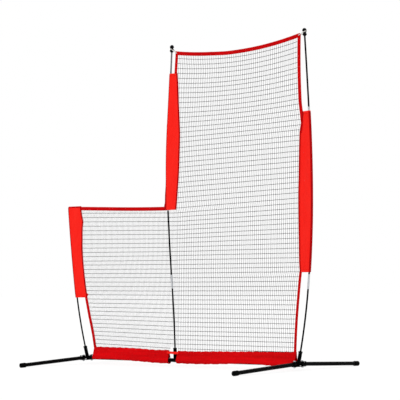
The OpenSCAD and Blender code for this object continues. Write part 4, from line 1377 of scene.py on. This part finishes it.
def cap_axis(pole):
    """Foot and direction of a cap's axis, which carries on the pole's line, and its length."""
    low, high = [corner.z for corner in block(f"{pole}_ball_cap")]
    near = low - BELOW_CAP
    lean = (pole_x[pole](near) - pole_x[pole](near - LEAN_RUN)) / LEAN_RUN
    foot = Vector((pole_x[pole](low + IN_CAP) - lean * IN_CAP, 0, low + CAP_RISE))
    return foot, Vector((lean, 0, 1)).normalized(), high - low


def rounded_profile(points, steps=4):
    """A profile of (radius, height) points whose corners are cut round by small arcs."""
    made = [points[0]]
    for before, here, after in zip(points, points[1:], points[2:]):
        here = Vector(here)
        back = Vector(before) - here
        ahead = Vector(after) - here
        cut = min(CAP_ROUND, back.length * MOST_CUT, ahead.length * MOST_CUT)
        start = here + back.normalized() * cut
        end = here + ahead.normalized() * cut
        for k in range(steps + 1):
            t = k / steps
            made.append(tuple((1 - t) ** 2 * start + 2 * t * (1 - t) * here + t * t * end))
    made.append(points[-1])
    return made


def cap_profile(r, length):
    """Half the cap's outline: mouth, cone, groove and dome, as (radius, height) points."""
    cone = length * CONE_SHARE
    brim = cone + length * GROOVE_SHARE
    shoulder = (r * CONE_SHOULDER[0], cone * CONE_SHOULDER[1])
    profile = rounded_profile([
        (CAP_BORE_R, 0.0), (CAP_FOOT_R, 0.0), shoulder, (r, cone),
        (GROOVE_R, cone + GROOVE_SLOPE), (GROOVE_R, brim - GROOVE_SLOPE), (r, brim)])
    turns = [radians(a) for a in range(10, 91, 10)]
    dome = [(r * cos(a) + TIP_R, brim + (length - brim) * sin(a)) for a in turns]
    return profile + dome


def add_ball_cap(pole):
    """Makes a cap and gives its axis, and its length."""
    foot, way, length = cap_axis(pole)
    low, high = block(f"{pole}_ball_cap")
    side = way.orthogonal().normalized()
    other = way.cross(side)
    turns = [2 * pi * k / CAP_TURNS for k in range(CAP_TURNS)]
    rings = []
    for radius, height in cap_profile((high.y - low.y) / 2, length):
        middle = foot + way * height
        rings.append([middle + radius * (cos(a) * side + sin(a) * other) for a in turns])
    cap = add_swept(f"{pole}_moulded_cap", rings, "plastic", "cap_plastic", ends=True)
    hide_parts(f"{pole}_ball_cap")
    print(f"{pole} cap: {1000 * length:.0f} mm long, {len(rings)} rings")
    return foot, way, length


# %% Elastic loops
LOOP_R = 0.0024
GROOVE_TURN_R = 0.0128
CORNER_TURN_R = 0.0050
LOOP_SIDES = 12
LOOP_TILT = tan(radians(24))
LOOP_SEAT = 0.56  # the loop's place in the groove, as a share of it
CORNER_REACH = 0.2


def rounded_closed(points, times=2):
    """Cuts the corners of a closed path again and again until it runs smoothly."""
    for _ in range(times):
        ahead = np.roll(points, -1, 0)
        points = np.stack([points * 0.75 + ahead * 0.25, points * 0.25 + ahead * 0.75], 1)
        points = points.reshape(-1, 3)
    return points


def grommet_centre(pole):
    """Middle of the grommet beside a pole: one node holds both, so its near points are taken."""
    points = np.array([v.co for v in nodes["corner_grommets"].data.vertices])
    near = np.abs(points[:, 0] - pole_x[pole](points[0, 2])) < CORNER_REACH
    return Vector((points[near].min(0) + points[near].max(0)) / 2)


def arc(centre, out, radius, degrees):
    """Points of an arc round a centre, level with the direction out and the y axis."""
    turns = [radians(turn) for turn in degrees]
    return [centre + radius * (cos(a) * out + sin(a) * NORTH) for a in turns]


def add_loop(pole, inward, foot, way, length):
    corner = grommet_centre(pole)
    seat = foot + way * length * (CONE_SHARE + GROOVE_SHARE * LOOP_SEAT)
    run = (corner - seat).normalized()
    path = arc(seat, Vector((inward, 0, -LOOP_TILT)), GROOVE_TURN_R, range(80, 281, 20))
    path += arc(corner - run * CORNER_TURN_R, run, CORNER_TURN_R, range(-80, 81, 20))
    path = rounded_closed(np.array(path))
    rings = tube_rings(path, LOOP_R, LOOP_SIDES, closed=True)
    loop = add_swept(f"{pole}_elastic_cord", rings, "elastic", "elastic", closed_run=True)
    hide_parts(f"{pole}_elastic_loop")
    print(f"{pole} loop: {1000 * run_length([*path, path[0]]):.0f} mm along its middle")


add_loop("right", -1, *add_ball_cap("right"))
add_loop("centre", 1, *add_ball_cap("centre"))

# %% [markdown]
# ## Finishes for the hard pieces
#
# The pieces that came from CAD already have their true shape. They only need their finish, which
# the last word of each piece's name tells. The topmost section of the centre pole is painted paler
# than the rest: its grey is a painted reflection of the bright studio.

# %% Dress the hard pieces
DRESS = {
    "hub": "frame", "crossbar": "frame", "leg": "frame", "cap": "rubber", "tip": "rubber",
    "liners": "plastic", "bolts": "zinc", "nuts": "zinc", "button": "zinc", "spring": "spring",
    "ferrules": "ferrule", "ferrule": "ferrule", "cords": "cord", "grommets": "enamel",
}


def finish_for(name):
    # The centre pole's top section gets a grey colour, a painted reflection of the bright studio
    if name == "centre_pole_section_4":
        return "painted_reflection_rod"
    if "_pole_section_" in name:
        return "rod"
    return DRESS.get(name.rsplit("_", 1)[-1])


dressed = [name for name in nodes if finish_for(name)]
for name in dressed:
    for slot in nodes[name].material_slots:
        slot.material = FINISHES[finish_for(name)]
print("hard pieces dressed:", len(dressed))

# %% [markdown]
# ## The floor
#
# The floor is wide, plain and white. To the camera it mostly shows a white of its own, and only
# the rest takes the net's shadow.

# %% Floor
FLOOR_SIZE = 60.0
FLOOR_SHADOW = 0.22
FLOOR_WHITE = 1.07
FLOOR_GREY = (0.86, 0.86, 0.86, 1)


def add_floor():
    finish = Finish("floor", "white_floor", Base_Color=FLOOR_GREY, Roughness=0.9,
                    Specular_IOR_Level=0.1)
    white = finish.node("ShaderNodeEmission", None, {"Strength": FLOOR_WHITE})
    own = Wire(finish, finish.shader.outputs[0])
    finish.show_white(own, white, 1 - FLOOR_SHADOW, "Material Output")
    half = FLOOR_SIZE / 2
    corners = [(-half, -half, 0), (half, -half, 0), (half, half, 0), (-half, half, 0)]
    mesh = bpy.data.meshes.new("floor")
    mesh.from_pydata(corners, [], [(0, 1, 2, 3)])
    mesh.materials.append(finish.material)
    add_object("floor", mesh)


add_floor()
print("floor:", FLOOR_SIZE, "m wide")
